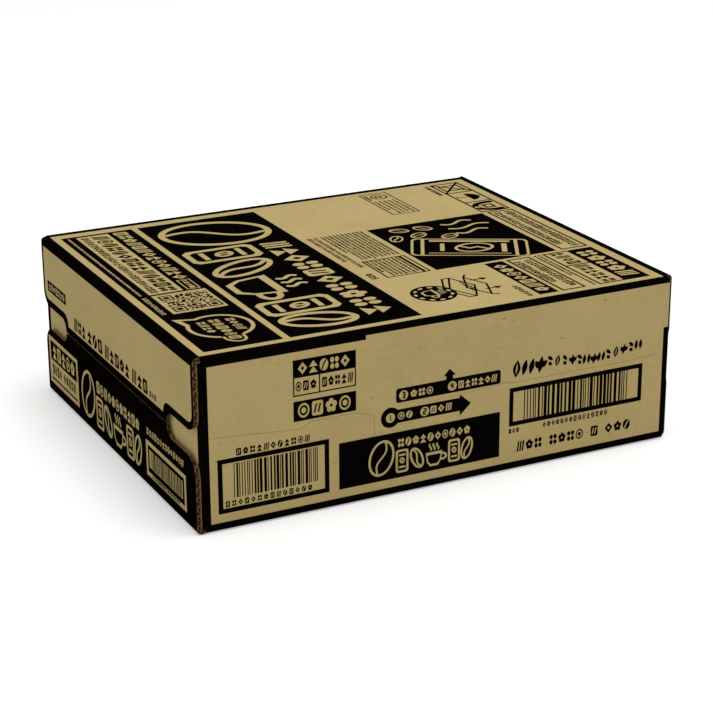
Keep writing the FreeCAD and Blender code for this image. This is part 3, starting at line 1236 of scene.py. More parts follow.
@dataclass
class CasePrint:
    """Print of the case's faces, each laid out from its lower left corner in millimetres."""

    sizes: CaseSizes

    @staticmethod
    def count_box(page: Layout, left: float, low: float, right: float, high: float,
                  header: float, split: float, line: float, seed: int) -> None:
        """Lay a count box down: an inked header line over two cells of smaller marks.

        Args:
            page: The print that it goes on.
            left, low, right, high: Its sides.
            header: Height of its header.
            split: Where the line between its cells stands.
            line: Width of its lines.
            seed: Picks the header's marks. The cells' are the next two.
        """
        head = high - header
        cell = head - low
        page.frame(left, low, right, high, line)
        page.ink(rectangle(left, head, right, high))
        pad = header * 0.16
        page.line(left + pad * 1.8, head + pad, right - pad * 1.8, high - pad, seed,
                  inked=False, pitch=0.84)
        page.ink(rectangle(split - line / 2, low, split + line / 2, head))
        for start, end, pick in ((left, split, seed + 1), (split, right, seed + 2)):
            page.line(start + 1.5, low + cell * 0.26, end - 1.2, head - cell * 0.2, pick,
                      pitch=0.68, gap=0.16)

    def front(self) -> Layout:
        """Print of the front panel, its folds and the strips that wrap to the inner flaps.

        Returns:
            Its outlines.
        """
        s = self.sizes
        page = Layout()
        # the film ends a hair inside the board's upper and lower edges
        wrap_low, wrap_high = 0.05 - s.panel_arc, s.height + s.panel_arc - 0.02
        # it wraps 2.2 mm onto one inner flap, and 4.8 mm onto the other
        upright, arc = s.board + s.side_fold, s.side_fold * math.pi / 2
        near, far = upright - arc - 2.2, s.length - upright + arc + 4.8
        slot, fold, end = s.slot_length, s.panel_fold, s.length - s.slot_length
        # edge bands
        for band in ((near, fold, slot, s.height - fold), (slot, wrap_low, 8.4, wrap_high),
                     (8.4, wrap_low, end, 5.6), (8.4, 103.7, 110.0, wrap_high),
                     (110.0, 106.4, end, wrap_high), (322.3, 5.6, end, 76.8),
                     (end, fold, far, 76.8), (325.6, 76.8, far, s.height - fold)):
            page.ink(rectangle(*band))
        # count box and label
        self.count_box(page, 62.3, 75.9, 103.3, 98.6, header=11.2, split=79.4, line=0.8, seed=11)
        page.ink(rectangle(62.3, 60.2, 103.3, 72.8, radius=0.3, steps=2))
        page.line(65.0, 61.9, 100.9, 71.2, 12, inked=False, pitch=0.88)
        # first stripe code
        page.line(25.1, 46.2, 73.7, 50.7, 13, pitch=0.96, gap=0.2)
        page.frame(13.3, 11.0, 85.2, 45.4, 3.0)
        page.stripes(23.4, 19.8, 77.6, 41.7, 14, fine=0.57)
        page.line(17.7, 14.7, 75.0, 18.5, 15, pitch=1.1, gap=0.28)
        # offer panel
        page.ink(rectangle(91.7, 11.0, 202.6, 41.0))
        Pen(page, 1.4).offer(110.9, 14.0, 183.6, 37.6, 16)
        # opening steps
        page.ink(rectangle(130.1, 59.8, 202.6, 68.9, radius=1.5, steps=4))
        page.ink(arrow(166.7, 68.0, 75.6, 8.6))
        page.ink(oval(126.3, 51.2, 6.5, 6.5), rectangle(126.3, 46.9, 174.2, 55.5),
                 np.array([(174.0, 43.8), (181.8, 50.7), (174.0, 57.7)]))
        for number, x, y in ((1, 126.3, 51.0), (2, 149.7, 51.0), (3, 135.2, 64.2),
                             (4, 168.6, 64.2)):
            page.bare(oval(x, y, 3.1, 3.1, steps=24))
            page.ink(*step_number(number, x, y, 3.3))
        for left, right, low, seed in ((131.2, 142.2, 48.7, 19), (153.4, 169.2, 48.7, 20),
                                       (139.7, 156.2, 61.7, 17), (172.7, 200.6, 61.7, 18)):
            page.line(left, low, right, low + 4.9, seed, inked=False, pitch=0.98)
        self.slogan(page, 210.0, 307.2)
        # second stripe code
        page.frame(209.2, 29.7, 307.3, 55.2, 2.9)
        page.stripes(219.8, 32.6, 297.0, 52.3, 21, fine=0.72)
        page.line(209.0, 24.6, 217.2, 28.5, 22, pitch=0.7, gap=0.2)
        page.line(233.8, 24.6, 282.7, 28.4, 23, pitch=0.86, gap=0.26)
        for left, right, seed in ((215.2, 234.4, 24), (239.0, 265.0, 25), (269.6, 276.2, 26),
                                  (280.4, 300.7, 27)):
            page.line(left, 11.7, right, 18.6, seed, pitch=0.94)
        return page

    @staticmethod
    def slogan(page: Layout, left: float, right: float) -> None:
        """Lay a loose line of brushed leaves down, large at first and rising at its end.

        Args:
            page: The print that it goes on.
            left, right: Where it starts and where it has to end.
        """
        picks = np.random.default_rng(41)
        fans = np.cumsum(picks.integers(1, 4, 40)) % 4
        x = left
        for fan in fans.tolist():
            part = (x - left) / (right - left)
            tall = 11.4 if part < 0.2 else 7.4
            base = 61.6 if part < 0.2 else 60.8 + 12.0 * abs(part - 0.6)
            cell = tall * (0.66 + 0.12 * picks.random())
            if x + cell > right:
                break
            foot = np.array([x + cell / 2, base])
            lean = -16 + 14 * picks.random()
            # sprout of three, pair side by side, leaf with a bare vein, leaf over a drop
            leaves = {0: ((-0.12, 0.5, 0.62, 42), (0.02, 0.5, 1.0, 0), (0.16, 0.5, 0.62, -42)),
                      1: ((-0.17, 0.5, 0.94, 0), (0.17, 0.5, 0.94, 0)),
                      2: ((0.0, 0.5, 1.0, 0),),
                      3: ((0.0, 0.72, 0.66, 56), (0.0, 0.24, 0.46, 56))}[fan]
            for across, up, size, turn in leaves:
                spot = foot + tall * np.array([across * 1.3, up])
                page.ink(leaf(*spot, tall * (0.24 if fan == 2 else 0.17), tall * size,
                              lean + turn))
            if fan == 2:
                page.bare(leaf(*(foot + (0, tall * 0.5)), tall * 0.05, tall * 0.66, lean))
            x += cell

    def top(self) -> Layout:
        """Print of the top panel. It reads from the left end of the case.

        Returns:
            Its outlines.
        """
        s = self.sizes
        page = Layout()
        fold, far = s.panel_fold, s.width - s.panel_fold
        slot, end = s.slot_length, s.length - s.slot_length
        # edge bands
        page.ink(rectangle(fold, slot, 7.8, end), rectangle(7.8, 322.6, far, end),
                 rectangle(269.6, slot, far, 322.6), rectangle(fold, slot, far, 5.3))
        # big offer panel
        page.ink(rectangle(15.3, 64.9, 263.8, 151.8))
        Pen(page, 4.2).offer(20.7, 69.0, 256.0, 146.4, 51)
        # lower strip
        page.ink(rectangle(15.3, 10.4, 263.8, 60.5))
        page.line(17.6, 45.8, 132.2, 55.4, 52, inked=False, pitch=0.9, slant=0.16)
        page.frame(134.0, 45.5, 154.0, 54.5, 0.9, radius=0.6, inked=False)
        page.dashes(136.2, 48.4, 152.0, 51.8, 53, inked=False)
        page.bare(rectangle(18.2, 20.0, 154.0, 42.7))
        page.line(20.6, 29.6, 151.4, 40.4, 54, pitch=0.86, slant=0.14)
        page.line(20.6, 22.4, 151.4, 27.4, 55, pitch=0.9, slant=0.14)
        page.dashes(18.5, 13.9, 154.0, 15.5, 57, inked=False)
        page.line(157.6, 13.2, 193.0, 16.4, 58, inked=False, pitch=1.0)
        self.dot_square(page, 156.4, 20.0, 194.0, 56.0)
        self.speech_badge(page, 226.2, 36.8)
        self.right_part(page)
        return page

    @staticmethod
    def dot_square(page: Layout, left: float, low: float, right: float, high: float) -> None:
        """Fill a bare square with seeded dots, and with a ringed square at three corners.

        Args:
            page: The print that it goes on.
            left, low, right, high: Its sides.
        """
        page.bare(rectangle(left, low, right, high))
        count, ring, pad = 25, 7, 3.0
        pitch = (right - left - 2 * pad) / count
        dots = np.random.default_rng(61).random((count, count)) < 0.52
        corners = ((0, 0), (0, count - ring), (count - ring, count - ring))
        for row, column in corners:
            dots[max(row - 1, 0):row + ring + 1, max(column - 1, 0):column + ring + 1] = False
        x0, y0 = left + pad, low + pad * (high - low) / (right - left)
        for row in range(count):
            edges = np.flatnonzero(np.diff(np.concatenate([[0], dots[row], [0]])))
            for start, stop in edges.reshape(-1, 2).tolist():
                page.ink(rectangle(x0 + start * pitch, y0 + row * pitch,
                                   x0 + stop * pitch, y0 + (row + 0.96) * pitch))
        for row, column in corners:
            x, y = x0 + column * pitch, y0 + row * pitch
            page.frame(x, y, x + ring * pitch, y + ring * pitch, pitch)
            page.ink(rectangle(x + 2 * pitch, y + 2 * pitch, x + 5 * pitch, y + 5 * pitch))

    @staticmethod
    def speech_badge(page: Layout, x: float, y: float) -> None:
        """Lay a round bare ring down, with a pointed foot and three lines of marks in it.

        Args:
            page: The print that it goes on.
            x, y: Its middle.
        """
        tail = np.array([(x - 22.6, y - 22.2), (x - 17.0, y - 4.0), (x - 4.0, y - 18.0)])
        page.bare(tail, oval(x, y, 21.0, 20.6, steps=48))
        page.ink(oval(x, y, 18.4, 18.0, steps=48))
        page.ink((tail - tail.mean(axis=0)) * 0.6 + tail.mean(axis=0) + (0.8, 1.4))
        page.ink(oval(x, y, 18.4, 18.0, steps=48))
        page.ink(rectangle(x - 13.0, y - 7.0, x + 30.0, y + 6.6, radius=6.0))
        tip = (x + 29.0, y - 1.0)
        page.bare(stroke(curve((x + 19.0, y + 5.9), (x + 31.0, y + 6.6), tip), 1.8),
                  stroke(curve(tip, (x + 26.0, y - 7.0), (x + 18.6, y - 6.0)), 1.8))
        for left, low, right, high, seed, pitch in ((-11.0, 6.8, 11.4, 12.6, 62, 0.9),
                                                    (-13.0, -3.6, 25.0, 3.6, 63, 0.82),
                                                    (-12.0, -11.4, 8.8, -5.6, 64, 0.9)):
            page.line(x + left, y + low, x + right, y + high, seed,
                      inked=False, pitch=pitch, slant=0.15)

    def right_part(self, page: Layout) -> None:
        """Fill the top's other half: handling marks, notes, a picture and the count box.

        Args:
            page: The top's print.
        """
        # handling marks
        page.frame(13.2, 293.1, 90.7, 316.0, 1.5)
        page.ink(rectangle(37.7, 293.1, 39.2, 316.0), rectangle(63.8, 293.1, 65.3, 316.0))
        page.frame(19.0, 296.6, 32.6, 312.6, 1.5)
        page.runs([[(13.8, 293.8), (37.8, 315.4)], [(13.8, 315.4), (37.8, 293.8)]], 1.7)
        page.ink(*umbrella(51.6, 295.0, 314.4, 16.5))
        page.frame(73.8, 301.6, 82.2, 310.0, 1.8)
        page.ink(*palms(78.0, 294.4, 314.4, 21.0))
        page.dashes(15.5, 287.4, 39.7, 290.6, 71)
        # plain outlined note
        page.frame(13.2, 235.2, 67.7, 256.7, 1.0, radius=1.0)
        page.ink(oval(22.4, 247.0, 5.8, 6.4, steps=24))
        page.bare(oval(22.4, 247.0, 4.6, 5.2, steps=24))
        page.mark(Mark.WEDGES, 19.6, 243.6, 5.6, 6.8, True)
        page.dashes(16.6, 237.2, 29.0, 239.4, 72)
        page.paragraph(32.4, 236.8, 65.4, 254.6, rows=5, seed=73, weight=0.46)
        # framed note over the picture
        page.frame(92.5, 295.9, 190.9, 316.0, 1.5)
        page.line(96.0, 306.6, 187.4, 312.8, 75, pitch=0.66, gap=0.05)
        page.line(96.0, 298.6, 180.0, 304.4, 76, pitch=0.7, gap=0.05)
        self.can_picture(page, 92.5, 201.7, 190.9, 291.8)
        # fine print and table
        page.paragraph(92.5, 165.8, 150.4, 198.0, rows=11, seed=81)
        page.frame(153.4, 166.6, 190.9, 198.0, 1.2)
        page.paragraph(155.4, 168.0, 189.4, 192.6, rows=8, seed=101)
        page.ink(rectangle(153.4, 192.8, 190.9, 195.0))
        page.line(92.5, 160.8, 164.7, 163.9, 98, pitch=0.96)
        page.line(92.5, 156.4, 148.9, 159.5, 99, pitch=0.96)
        page.line(178.0, 156.2, 190.4, 161.4, 100, pitch=0.8, gap=0.04)
        # count box
        self.count_box(page, 194.2, 278.2, 263.6, 316.0,
                       header=19.2, split=222.6, line=1.5, seed=111)
        page.paragraph(194.6, 270.8, 263.2, 276.8, rows=2, seed=104, weight=0.6)
        page.frame(194.2, 251.1, 263.6, 268.4, 1.5)
        page.line(199.4, 260.6, 257.8, 266.0, 115, pitch=0.7, gap=0.05)
        page.line(199.4, 253.2, 246.6, 258.6, 116, pitch=0.7, gap=0.05)
        page.ink(rectangle(194.2, 234.7, 263.6, 248.3))
        page.line(199.6, 236.6, 259.0, 246.4, 107, inked=False, slant=0.06)
        page.line(241.2, 226.8, 263.4, 230.8, 108, pitch=1.0, slant=0.1)
        self.open_case(page, 228.4, 204.2)
        self.round_badge(page, 231.9, 177.2)

    @staticmethod
    def can_picture(page: Layout, left: float, low: float, right: float, high: float) -> None:
        """Ink a field with a plain slim can lying aslant in it, beans and rising steam.

        Args:
            page: The print that it goes on.
            left, low, right, high: Its sides.
        """
        page.ink(rectangle(left, low, right, high))
        crease = np.array([(-3.0, -8.6), (1.8, -1.0), (-1.4, 4.2), (3.2, 12.4)])
        for inked, loop in (
            (False, rectangle(-19.0, -40.0, 19.0, 38.0, radius=5.0, steps=5)),   # body
            (True, rectangle(-17.2, -38.2, 17.2, 36.2, radius=4.0, steps=5)),
            (False, rectangle(-17.2, 28.6, 17.2, 31.0)),                         # rims
            (False, rectangle(-17.2, -33.4, 17.2, -31.0)),
            (False, rectangle(-15.4, -28.0, -12.0, 26.0, radius=1.2, steps=3)),  # shines
            (False, rectangle(12.4, -28.0, 13.8, 26.0)),
            (False, oval(0.0, 2.0, 9.8, 13.6, tilt=20)),                         # bean
            (True, oval(0.0, 2.0, 7.6, 11.4, tilt=20)),
            (False, stroke(crease, 2.2)),
            (False, rectangle(-9.0, 20.0, 9.6, 23.6, radius=0.8, steps=2)),      # plain labels
            (False, rectangle(-8.0, -20.6, 8.6, -17.6, radius=0.8, steps=2)),
        ):
            leant = turned(loop, math.radians(-28), (0, 0)) + (left + 66.0, low + 44.0)
            page.lay(inked, np.clip(leant, (left + 0.8, low + 0.8), (right - 0.8, high - 0.8)))
        for x, y, tilt in ((13.0, 36.0, -40), (26.0, 26.0, 30), (11.0, 19.0, -25),
                           (27.0, 8.6, 60), (37.0, 44.0, 20)):
            Pen(page, 1.4).bean(left + x, low + y, 4.8, 7.2, tilt)
        for x, tall in ((11.0, 24.0), (22.0, 32.0), (33.0, 25.0)):
            page.bare(stroke(wisp(left + x, low + 51.0, tall, 2.8, 15), 2.4))

    @staticmethod
    def open_case(page: Layout, x: float, y: float) -> None:
        """Draw an opened case with its lid lifted off.

        Args:
            page: The print that it goes on.
            x, y: Its middle.
        """
        page.runs([
            [(-19, -4), (1, -14), (19, -5), (0, 4), (-19, -4), (-19, -9), (1, -18), (1, -14)],
            [(1, -18), (19, -10), (19, -5)],
            [(-16, 5), (3, -3), (20, 5), (1, 12), (-16, 5), (-20, 8)],
            [(20, 5), (22, 9)], [(-9, 7), (-9, 14)], [(10, 7), (10, 14)],
        ], 1.3, (x, y))
        for dx in (-9.0, 10.0):
            page.ink(np.array([(x + dx - 2.6, y + 13.4), (x + dx + 2.6, y + 13.4),
                               (x + dx, y + 18.2)]))
        page.line(x - 10.0, y - 2.6, x + 10.0, y + 1.4, 117, pitch=0.9)

    @staticmethod
    def round_badge(page: Layout, x: float, y: float) -> None:
        """Ink a disc with a ring of beans round a cup.

        Args:
            page: The print that it goes on.
            x, y: Its middle.
        """
        page.ink(oval(x, y, 15.2, 14.6, steps=48))
        Pen(page, 1.4).cup(x - 7.4, y - 7.0, x + 8.4, y + 9.0)
        for turn in np.linspace(0, 2 * math.pi, 11, endpoint=False).tolist():
            page.bare(oval(x + 12.0 * math.cos(turn), y + 11.6 * math.sin(turn), 1.2, 2.0,
                           tilt=math.degrees(turn), steps=12))

    def upper_flap(self) -> Layout:
        """Print of an upper outer flap: a bare field inside a black edge.

        Returns:
            Its outlines.
        """
        s = self.sizes
        page = Layout()
        bare_field = FlapShape(s, True, edge_near=3.1, edge_far=3.2, notch_line=5.0,
                               meeting_line=4.9)
        page.ink(FlapShape(s, True).free_edge(0.0, s.slot_height(True)))
        page.bare(bare_field.free_edge(0.0, 104.9))
        page.ink(rectangle(13.3, 74.9, 50.0, 82.5))
        page.line(15.4, 76.3, 48.0, 81.2, 112, inked=False, pitch=0.9)
        for left, right, seed in ((64.8, 88.0, 113), (90.6, 120.0, 114), (123.0, 168.0, 118),
                                  (171.0, 199.0, 119)):
            page.line(left, 62.4, right, 71.6, seed)
        page.line(200.4, 62.8, 212.0, 67.0, 120, pitch=0.9)
        return page

    def lower_flap(self) -> Layout:
        """Print of a lower outer flap: boxes and pictures on black.

        Returns:
            Its outlines.
        """
        page = Layout()
        page.ink(FlapShape(self.sizes, False).free_edge(0.0, 0.05 - self.sizes.end_arc))
        page.frame(8.7, 8.3, 67.0, 42.0, 3.0, radius=0.4, inked=False)
        page.line(15.6, 27.0, 61.4, 37.4, 121, inked=False, pitch=0.84)
        page.bare(rectangle(11.7, 11.3, 64.0, 25.2))
        page.line(14.0, 15.4, 33.4, 22.6, 122, pitch=0.72, gap=0.18)
        page.line(36.6, 15.4, 62.0, 22.6, 123, pitch=0.72, gap=0.18)
        page.ink(rectangle(11.7, 11.2, 64.0, 12.6))
        Pen(page, 2.1).offer(72.2, 7.8, 183.1, 42.0, 124)
        page.line(192.4, 35.9, 252.6, 40.6, 125, inked=False, pitch=0.9, slant=0.1)
        page.frame(190.6, 8.3, 255.2, 31.9, 3.0, radius=0.3, inked=False)
        page.frame(193.6, 12.3, 252.0, 29.0, 2.4)
        page.stripes(199.0, 15.1, 248.2, 26.6, 126, fine=0.62)
        page.dashes(200.0, 9.2, 246.0, 10.8, 127)
        return page


# ---------------------------------------------------------------- board


@dataclass(frozen=True)
class FlapShape:
    """Flat outline of an outer flap, by distance from the back and height.

    edge_near, edge_far, notch_line and meeting_line draw its sides in by that much.
    """

    sizes: CaseSizes
    upper: bool
    edge_near: float = 0.0
    edge_far: float = 0.0
    notch_line: float = 0.0
    meeting_line: float = 0.0

    def free_edge(self, inset: float, end: float, step: float = 400.0) -> np.ndarray:
        """The flap's raw edge, drawn in by an inset. Closed at the fold, it is its outline.

        Args:
            inset: How far the path is drawn in all along.
            end: Height at which it starts and ends.
            step: Distance between points on the straight runs.

        Returns:
            Points (distance from the back, height).
        """
        s = self.sizes
        sign = 1.0 if self.upper else -1.0
        near = s.width - s.near_setback - inset - self.edge_near
        far = s.far_setback + inset + self.edge_far
        notch = s.meeting + sign * (s.notch_height / 2 + inset + self.notch_line)
        meet = s.meeting + sign * (s.seam_gap / 2 + inset + self.meeting_line)
        grown = inset + self.notch_line
        mouth = s.tab_radius if self.upper else s.shoulder_radius
        mouth = max(mouth - inset - self.edge_near * 0.5 - self.notch_line * 0.5, 0.6)
        inner = min(s.notch_radius + grown, abs(notch - meet) - 0.05)
        near_notch = s.width - s.near_setback - s.notch_depth - grown
        far_notch = s.far_setback + s.notch_depth + grown
        return rounded_path([
            (near, end, 0.0), (near, notch, mouth), (near_notch, notch, inner),
            (near_notch, meet, 0.0), (far_notch, meet, 0.0), (far_notch, notch, inner),
            (far, notch, mouth), (far, end, 0.0),
        ], step)


class Side(Enum):
    """The faces that are drawn. The right end is the left one turned round."""

    FRONT = 0
    BACK = 1
    END = 2
    TOP = 3
    BOTTOM = 4


@dataclass
class Case:
    """The shut case: four wrapped panels, their flaps, the raw edges and the print."""

    sizes: CaseSizes
    liner: KraftLiner = KraftLiner()
    medium: FluteMedium = FluteMedium()
    ink: FlexoInk = FlexoInk()

    def face(self, side: Side) -> FoldedFace:
        """Work out a face as seen from outside, with the folds to what wraps from it.

        The back is the front turned round, with its free edge square at the bottom.

        Args:
            side: The face.

        Returns:
            The folded face.
        """
        s = self.sizes
        near, far = (-s.length / 2, -s.width / 2, 0), (-s.length / 2, s.width / 2, 0)
        x, y, z, minus_y = (1, 0, 0), (0, 1, 0), (0, 0, 1), (0, -1, 0)
        sides = Bend(s.board, s.length - s.board, s.side_fold, s.side_fold)
        ends = Bend(0, s.length, s.end_fold, s.end_fold)
        return {
            Side.FRONT: FoldedFace(near, x, z, minus_y, sides,
                                   Bend(0, s.height, s.panel_fold, s.panel_fold)),
            Side.BACK: FoldedFace(near, x, z, minus_y, sides,
                                  Bend(0, s.height, 0, s.panel_fold)),
            Side.END: FoldedFace(far, minus_y, z, (-1, 0, 0), Bend(),
                                 Bend(0, s.height, s.end_fold, s.end_fold)),
            Side.TOP: FoldedFace((*far[:2], s.height), minus_y, x, z, Bend(), ends),
            Side.BOTTOM: FoldedFace(near, y, x, (0, 0, -1), Bend(), ends),
        }[side]

    def end_board(self, upper: bool, inset: float) -> np.ndarray:
        """Flat outline of the top or bottom board: its panel and a flap at each end.

        Args:
            upper: The top board, or the bottom one.
            inset: How far its flaps' raw edges are drawn in.

        Returns:
            The closed outline.
        """
        s = self.sizes
        across, up = FlapShape(s, upper).free_edge(inset, s.slot_height(upper)).T
        saved = 2 * s.end_fold - s.end_fold * math.pi / 2
        if upper:
            left = np.stack([across, up - s.height + saved], -1)
            first, last = s.panel_fold, s.width - s.panel_fold
        else:
            left = np.stack([s.width - across, saved - up], -1)
            first, last = s.width - s.board - s.glue_seam, s.panel_fold
        right = np.array([s.width, s.length]) - left
        start, end = s.slot_length, s.length - s.slot_length
        return np.concatenate([left, [(first, start), (first, end)],
                               right, [(last, end), (last, start)]])

    def side_board(self, low: float) -> np.ndarray:
        """Flat outline of the front or back board, with an inner flap at each end.

        Args:
            low: Developed height of its lower edge.

        Returns:
            The closed outline.
        """
        s = self.sizes
        upright = s.board + s.side_fold
        reach = upright - s.side_fold * math.pi / 2 - (s.width / 2 - 0.4 - s.side_fold)
        fold, slot, high = s.panel_fold, s.slot_length, s.height + s.panel_arc
        left = np.array([(slot, high), (slot, s.height - fold), (reach, s.height - fold),
                         (reach, fold), (slot, fold), (slot, low)])
        right = left[::-1] * (-1, 1) + (s.length, 0)
        return np.concatenate([left[-1:], right, left[:-1]])

    def opening_cuts(self) -> list[Crease]:
        """Cuts of the tear line on the front and back panels.

        Returns:
            Two rows of dashes, and the edge of the push-in tab.
        """
        s = self.sizes
        paths = []
        for run in (np.array([(7, 59.8), (67, 55), (73, 58.6), (103, 58.6), (115, 55)]),
                    np.array([(205, 59.8), (211, 58.6), (299.5, 58.6), (323.5, 59.8)])):
            starts = np.arange(1.0, measured(run)[-1] - 5.0, s.tear_pitch)
            paths += [spots_at(run, start + np.linspace(0, s.tear_dash, 3))
                      for start in starts]
        paths.append(np.array([(115.4, 42.0), (115.4, 48.0), (115.4, 54.4)]))
        return [Crease(path, s.tear_width, s.tear_depth) for path in paths]

    def build_boards(self) -> None:
        """Build the top, bottom, front and back boards."""
        s = self.sizes
        along = self.liner.material("kraft liner, flutes across the case", FluteRun.UP)
        upright = self.liner.material("kraft liner, flutes upright", FluteRun.ACROSS)
        # two liners, and between them a core drawn in from the raw edges
        layers = ((BOARD_SINK, s.liner, 0.0), (s.liner, s.board - s.liner, s.raw_depth),
                  (s.board - s.liner, s.board, 0.0))
        for name, upper, side in (("top_board", True, Side.TOP),
                                  ("bottom_board", False, Side.BOTTOM)):
            face = self.face(side)
            sheets = [sheet(face, self.end_board(upper, inset), outer, inner)
                      for outer, inner, inset in layers]
            if not upper:
                # the glued seam's gap is closed by a strip a little way in
                edge = s.width - s.board
                strip = rectangle(edge - s.glue_seam - 2, s.slot_length, edge + 1,
                                  s.length - s.slot_length)
                sheets.append(sheet(face, strip, 1.5, 3.4))
            make_piece(name, Shell.joined(sheets), along)
        cuts = self.opening_cuts()
        front = sheet(self.face(Side.FRONT), self.side_board(-s.panel_arc), BOARD_SINK,
                      s.board, cuts)
        make_piece("front_board", front, upright)
        back = sheet(self.face(Side.BACK), self.side_board(0.0), BOARD_SINK, s.board, cuts)
        make_piece("back_board", back.half_turn(), upright)

    def raw_edge(self, upper: bool) -> Shell:
        """The wavy middle layer seen at an outer flap's raw edge.

        Over the strip between the raw edge and a line drawn in from it, the depth is
        half the board + amplitude sin(2 pi height / flute pitch), for a thin closed strip.

        Args:
            upper: An upper flap, or a lower one.

        Returns:
            The closed strip.
        """
        s = self.sizes
        edges = [FlapShape(s, upper).free_edge(inset, s.slot_height(upper), 0.5)
                 for inset in (0.05, s.raw_depth + 0.6)]
        shares = np.linspace(0, 1, min(len(edge) for edge in edges))
        raw, drawn = (spots_at(edge, shares * measured(edge)[-1]) for edge in edges)
        t = np.linspace(0, 1, 9)[None, :, None]
        flat = (raw[:, None, :] * (1 - t) + drawn[:, None, :] * t).reshape(-1, 2)
        amplitude = s.board / 2 - s.liner - s.medium / 2
        wave = s.board / 2 + amplitude * np.sin(flat[:, 1] * 2 * math.pi / s.flute_pitch)
        face = self.face(Side.END)
        return closed_strip(face.place(flat, wave - s.medium / 2),
                            face.place(flat, wave + s.medium / 2), flat, len(shares), upper)

    def build_raw_edges(self) -> None:
        """Build the wavy middle layer of all four outer flaps."""
        material = self.medium.material("fluting medium")
        for name, upper in (("upper_flutes", True), ("lower_flutes", False)):
            strip = self.raw_edge(upper)
            make_piece(f"left_{name}", strip, material, 60.0)
            make_piece(f"right_{name}", strip.half_turn(), material, 60.0)

    def build_print(self) -> None:
        """Print every face, and repeat the front and the left end half a turn round."""
        material = self.ink.material("flexographic black")
        pages = CasePrint(self.sizes)
        front = film(self.face(Side.FRONT), pages.front())
        make_piece("front_print", front, material)
        make_piece("back_print", front.half_turn(), material)
        make_piece("top_print", film(self.face(Side.TOP), pages.top()), material)
        for name, page in (("upper", pages.upper_flap()), ("lower", pages.lower_flap())):
            shell = film(self.face(Side.END), page)
            make_piece(f"left_{name}_print", shell, material)
            make_piece(f"right_{name}_print", shell.half_turn(), material)

    def build(self) -> None:
        """Build the whole case in place of its plain model."""
        self.build_boards()
        self.build_raw_edges()
        self.build_print()
        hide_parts(NODE)


# ---------------------------------------------------------------- stage


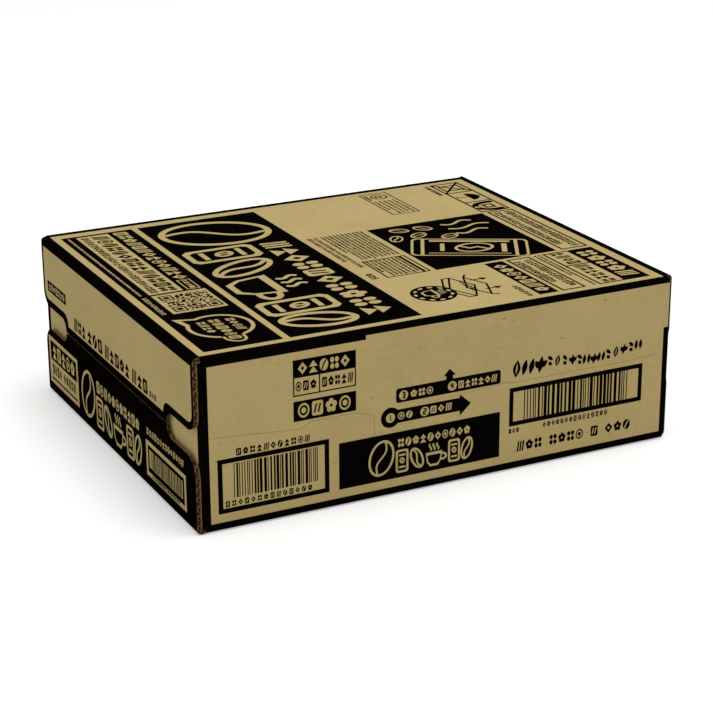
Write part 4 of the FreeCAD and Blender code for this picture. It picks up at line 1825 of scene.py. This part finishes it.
@dataclass(frozen=True)
class Stage:
    """Pale floor, soft studio light and the camera. Lengths are metres, angles degrees."""

    azimuth: float = -26.5777
    elevation: float = 20.2772
    roll: float = -0.2967
    distance: float = 1.40017
    aim: tuple[float, float, float] = (0.02107, 0.0287, 0.02621)
    lens: float = 103.307
    sensor: float = 36.0
    floor_level: float = -0.0002
    floor_half: float = 12.0
    floor_colour: str = "#E9E9E9"
    floor_glow: float = 0.34        # seen by the camera only, so that the floor reads white
    softbox_place: tuple[float, float, float] = (0.3, -0.45, 2.4)
    softbox_aim: tuple[float, float, float] = (0.0, 0.0, 0.05)
    softbox_size: float = 1.6
    softbox_power: float = 26.0
    world_light: float = 0.62

    def add_camera(self) -> None:
        """Aim a camera along its azimuth and elevation, rolled by a little."""
        a, e, r = (math.radians(v) for v in (self.azimuth, self.elevation, self.roll))
        back = Vector((math.sin(a) * math.cos(e), -math.cos(a) * math.cos(e), math.sin(e)))
        right = (-back).cross(Vector((0, 0, 1))).normalized()
        up = right.cross(-back)
        across = right * math.cos(r) + up * math.sin(r)
        upward = up * math.cos(r) - right * math.sin(r)
        data = bpy.data.cameras.new("camera")
        data.lens, data.sensor_width = self.lens, self.sensor
        data.clip_start, data.clip_end = 0.05, 50.0
        camera = link_object("camera", data)
        turn = Matrix((across, upward, back)).transposed().to_4x4()
        camera.matrix_world = Matrix.Translation(Vector(self.aim) + back * self.distance) @ turn
        bpy.context.scene.camera = camera

    def add_floor(self) -> None:
        """Lay a white floor that keeps the case's shadow."""
        mesh = bpy.data.meshes.new("floor")
        corners = rectangle(-1, -1, 1, 1) * self.floor_half
        mesh.from_pydata([(x, y, self.floor_level) for x, y in corners.tolist()], [],
                         [(0, 1, 2, 3)])
        floor = link_object("floor", mesh)
        material, tree = new_material("white paper floor")
        diffuse = add_node(tree, "ShaderNodeBsdfDiffuse", {"Color": linear(self.floor_colour)})
        glow = add_node(tree, "ShaderNodeEmission",
                        {"Color": linear(WHITE), "Strength": self.floor_glow})
        path = add_node(tree, "ShaderNodeLightPath")
        seen = add_node(tree, "ShaderNodeMixShader",
                        links={0: path.outputs["Is Camera Ray"], 2: glow.outputs[0]})
        total = add_node(tree, "ShaderNodeAddShader",
                         links={0: diffuse.outputs[0], 1: seen.outputs[0]})
        add_node(tree, "ShaderNodeOutputMaterial", links={"Surface": total.outputs[0]})
        mesh.materials.append(material)

    def add_light(self) -> None:
        """Hang a square softbox over the case, and aim it."""
        data = bpy.data.lights.new("overhead softbox", "AREA")
        data.shape, data.size, data.energy = "SQUARE", self.softbox_size, self.softbox_power
        lamp = link_object("overhead softbox", data)
        lamp.location = self.softbox_place
        lamp.rotation_mode = "QUATERNION"
        beam = Vector(self.softbox_aim) - Vector(self.softbox_place)
        lamp.rotation_quaternion = beam.to_track_quat("-Z", "Y")

    def add_world(self) -> None:
        """Surround the case with pale light, and with plain white where it is seen."""
        world = bpy.data.worlds.new("studio")
        bpy.context.scene.world = world
        world.use_nodes = True
        tree = world.node_tree
        tree.nodes.clear()
        path = add_node(tree, "ShaderNodeLightPath")
        lit, seen = (add_node(tree, "ShaderNodeBackground",
                              {"Color": linear(WHITE), "Strength": strength})
                     for strength in (self.world_light, 1.0))
        shown = path.outputs["Is Camera Ray"]
        for ray in ("Is Glossy Ray", "Is Transmission Ray"):
            shown = add_node(tree, "ShaderNodeMath", {"operation": "MAXIMUM"},
                             {0: shown, 1: path.outputs[ray]}).outputs[0]
        mix = add_node(tree, "ShaderNodeMixShader",
                       links={0: shown, 1: lit.outputs[0], 2: seen.outputs[0]})
        add_node(tree, "ShaderNodeOutputWorld", links={"Surface": mix.outputs[0]})

    def build(self) -> None:
        """Set the stage."""
        self.add_camera()
        self.add_floor()
        self.add_world()
        self.add_light()
        bpy.context.scene.view_settings.view_transform = "Standard"


def main() -> None:
    """Build the case and its stage."""
    logging.basicConfig(level=logging.INFO, format="%(message)s")
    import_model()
    Case(CaseSizes.from_model()).build()
    Stage().build()


if __name__ == "__main__":
    main()
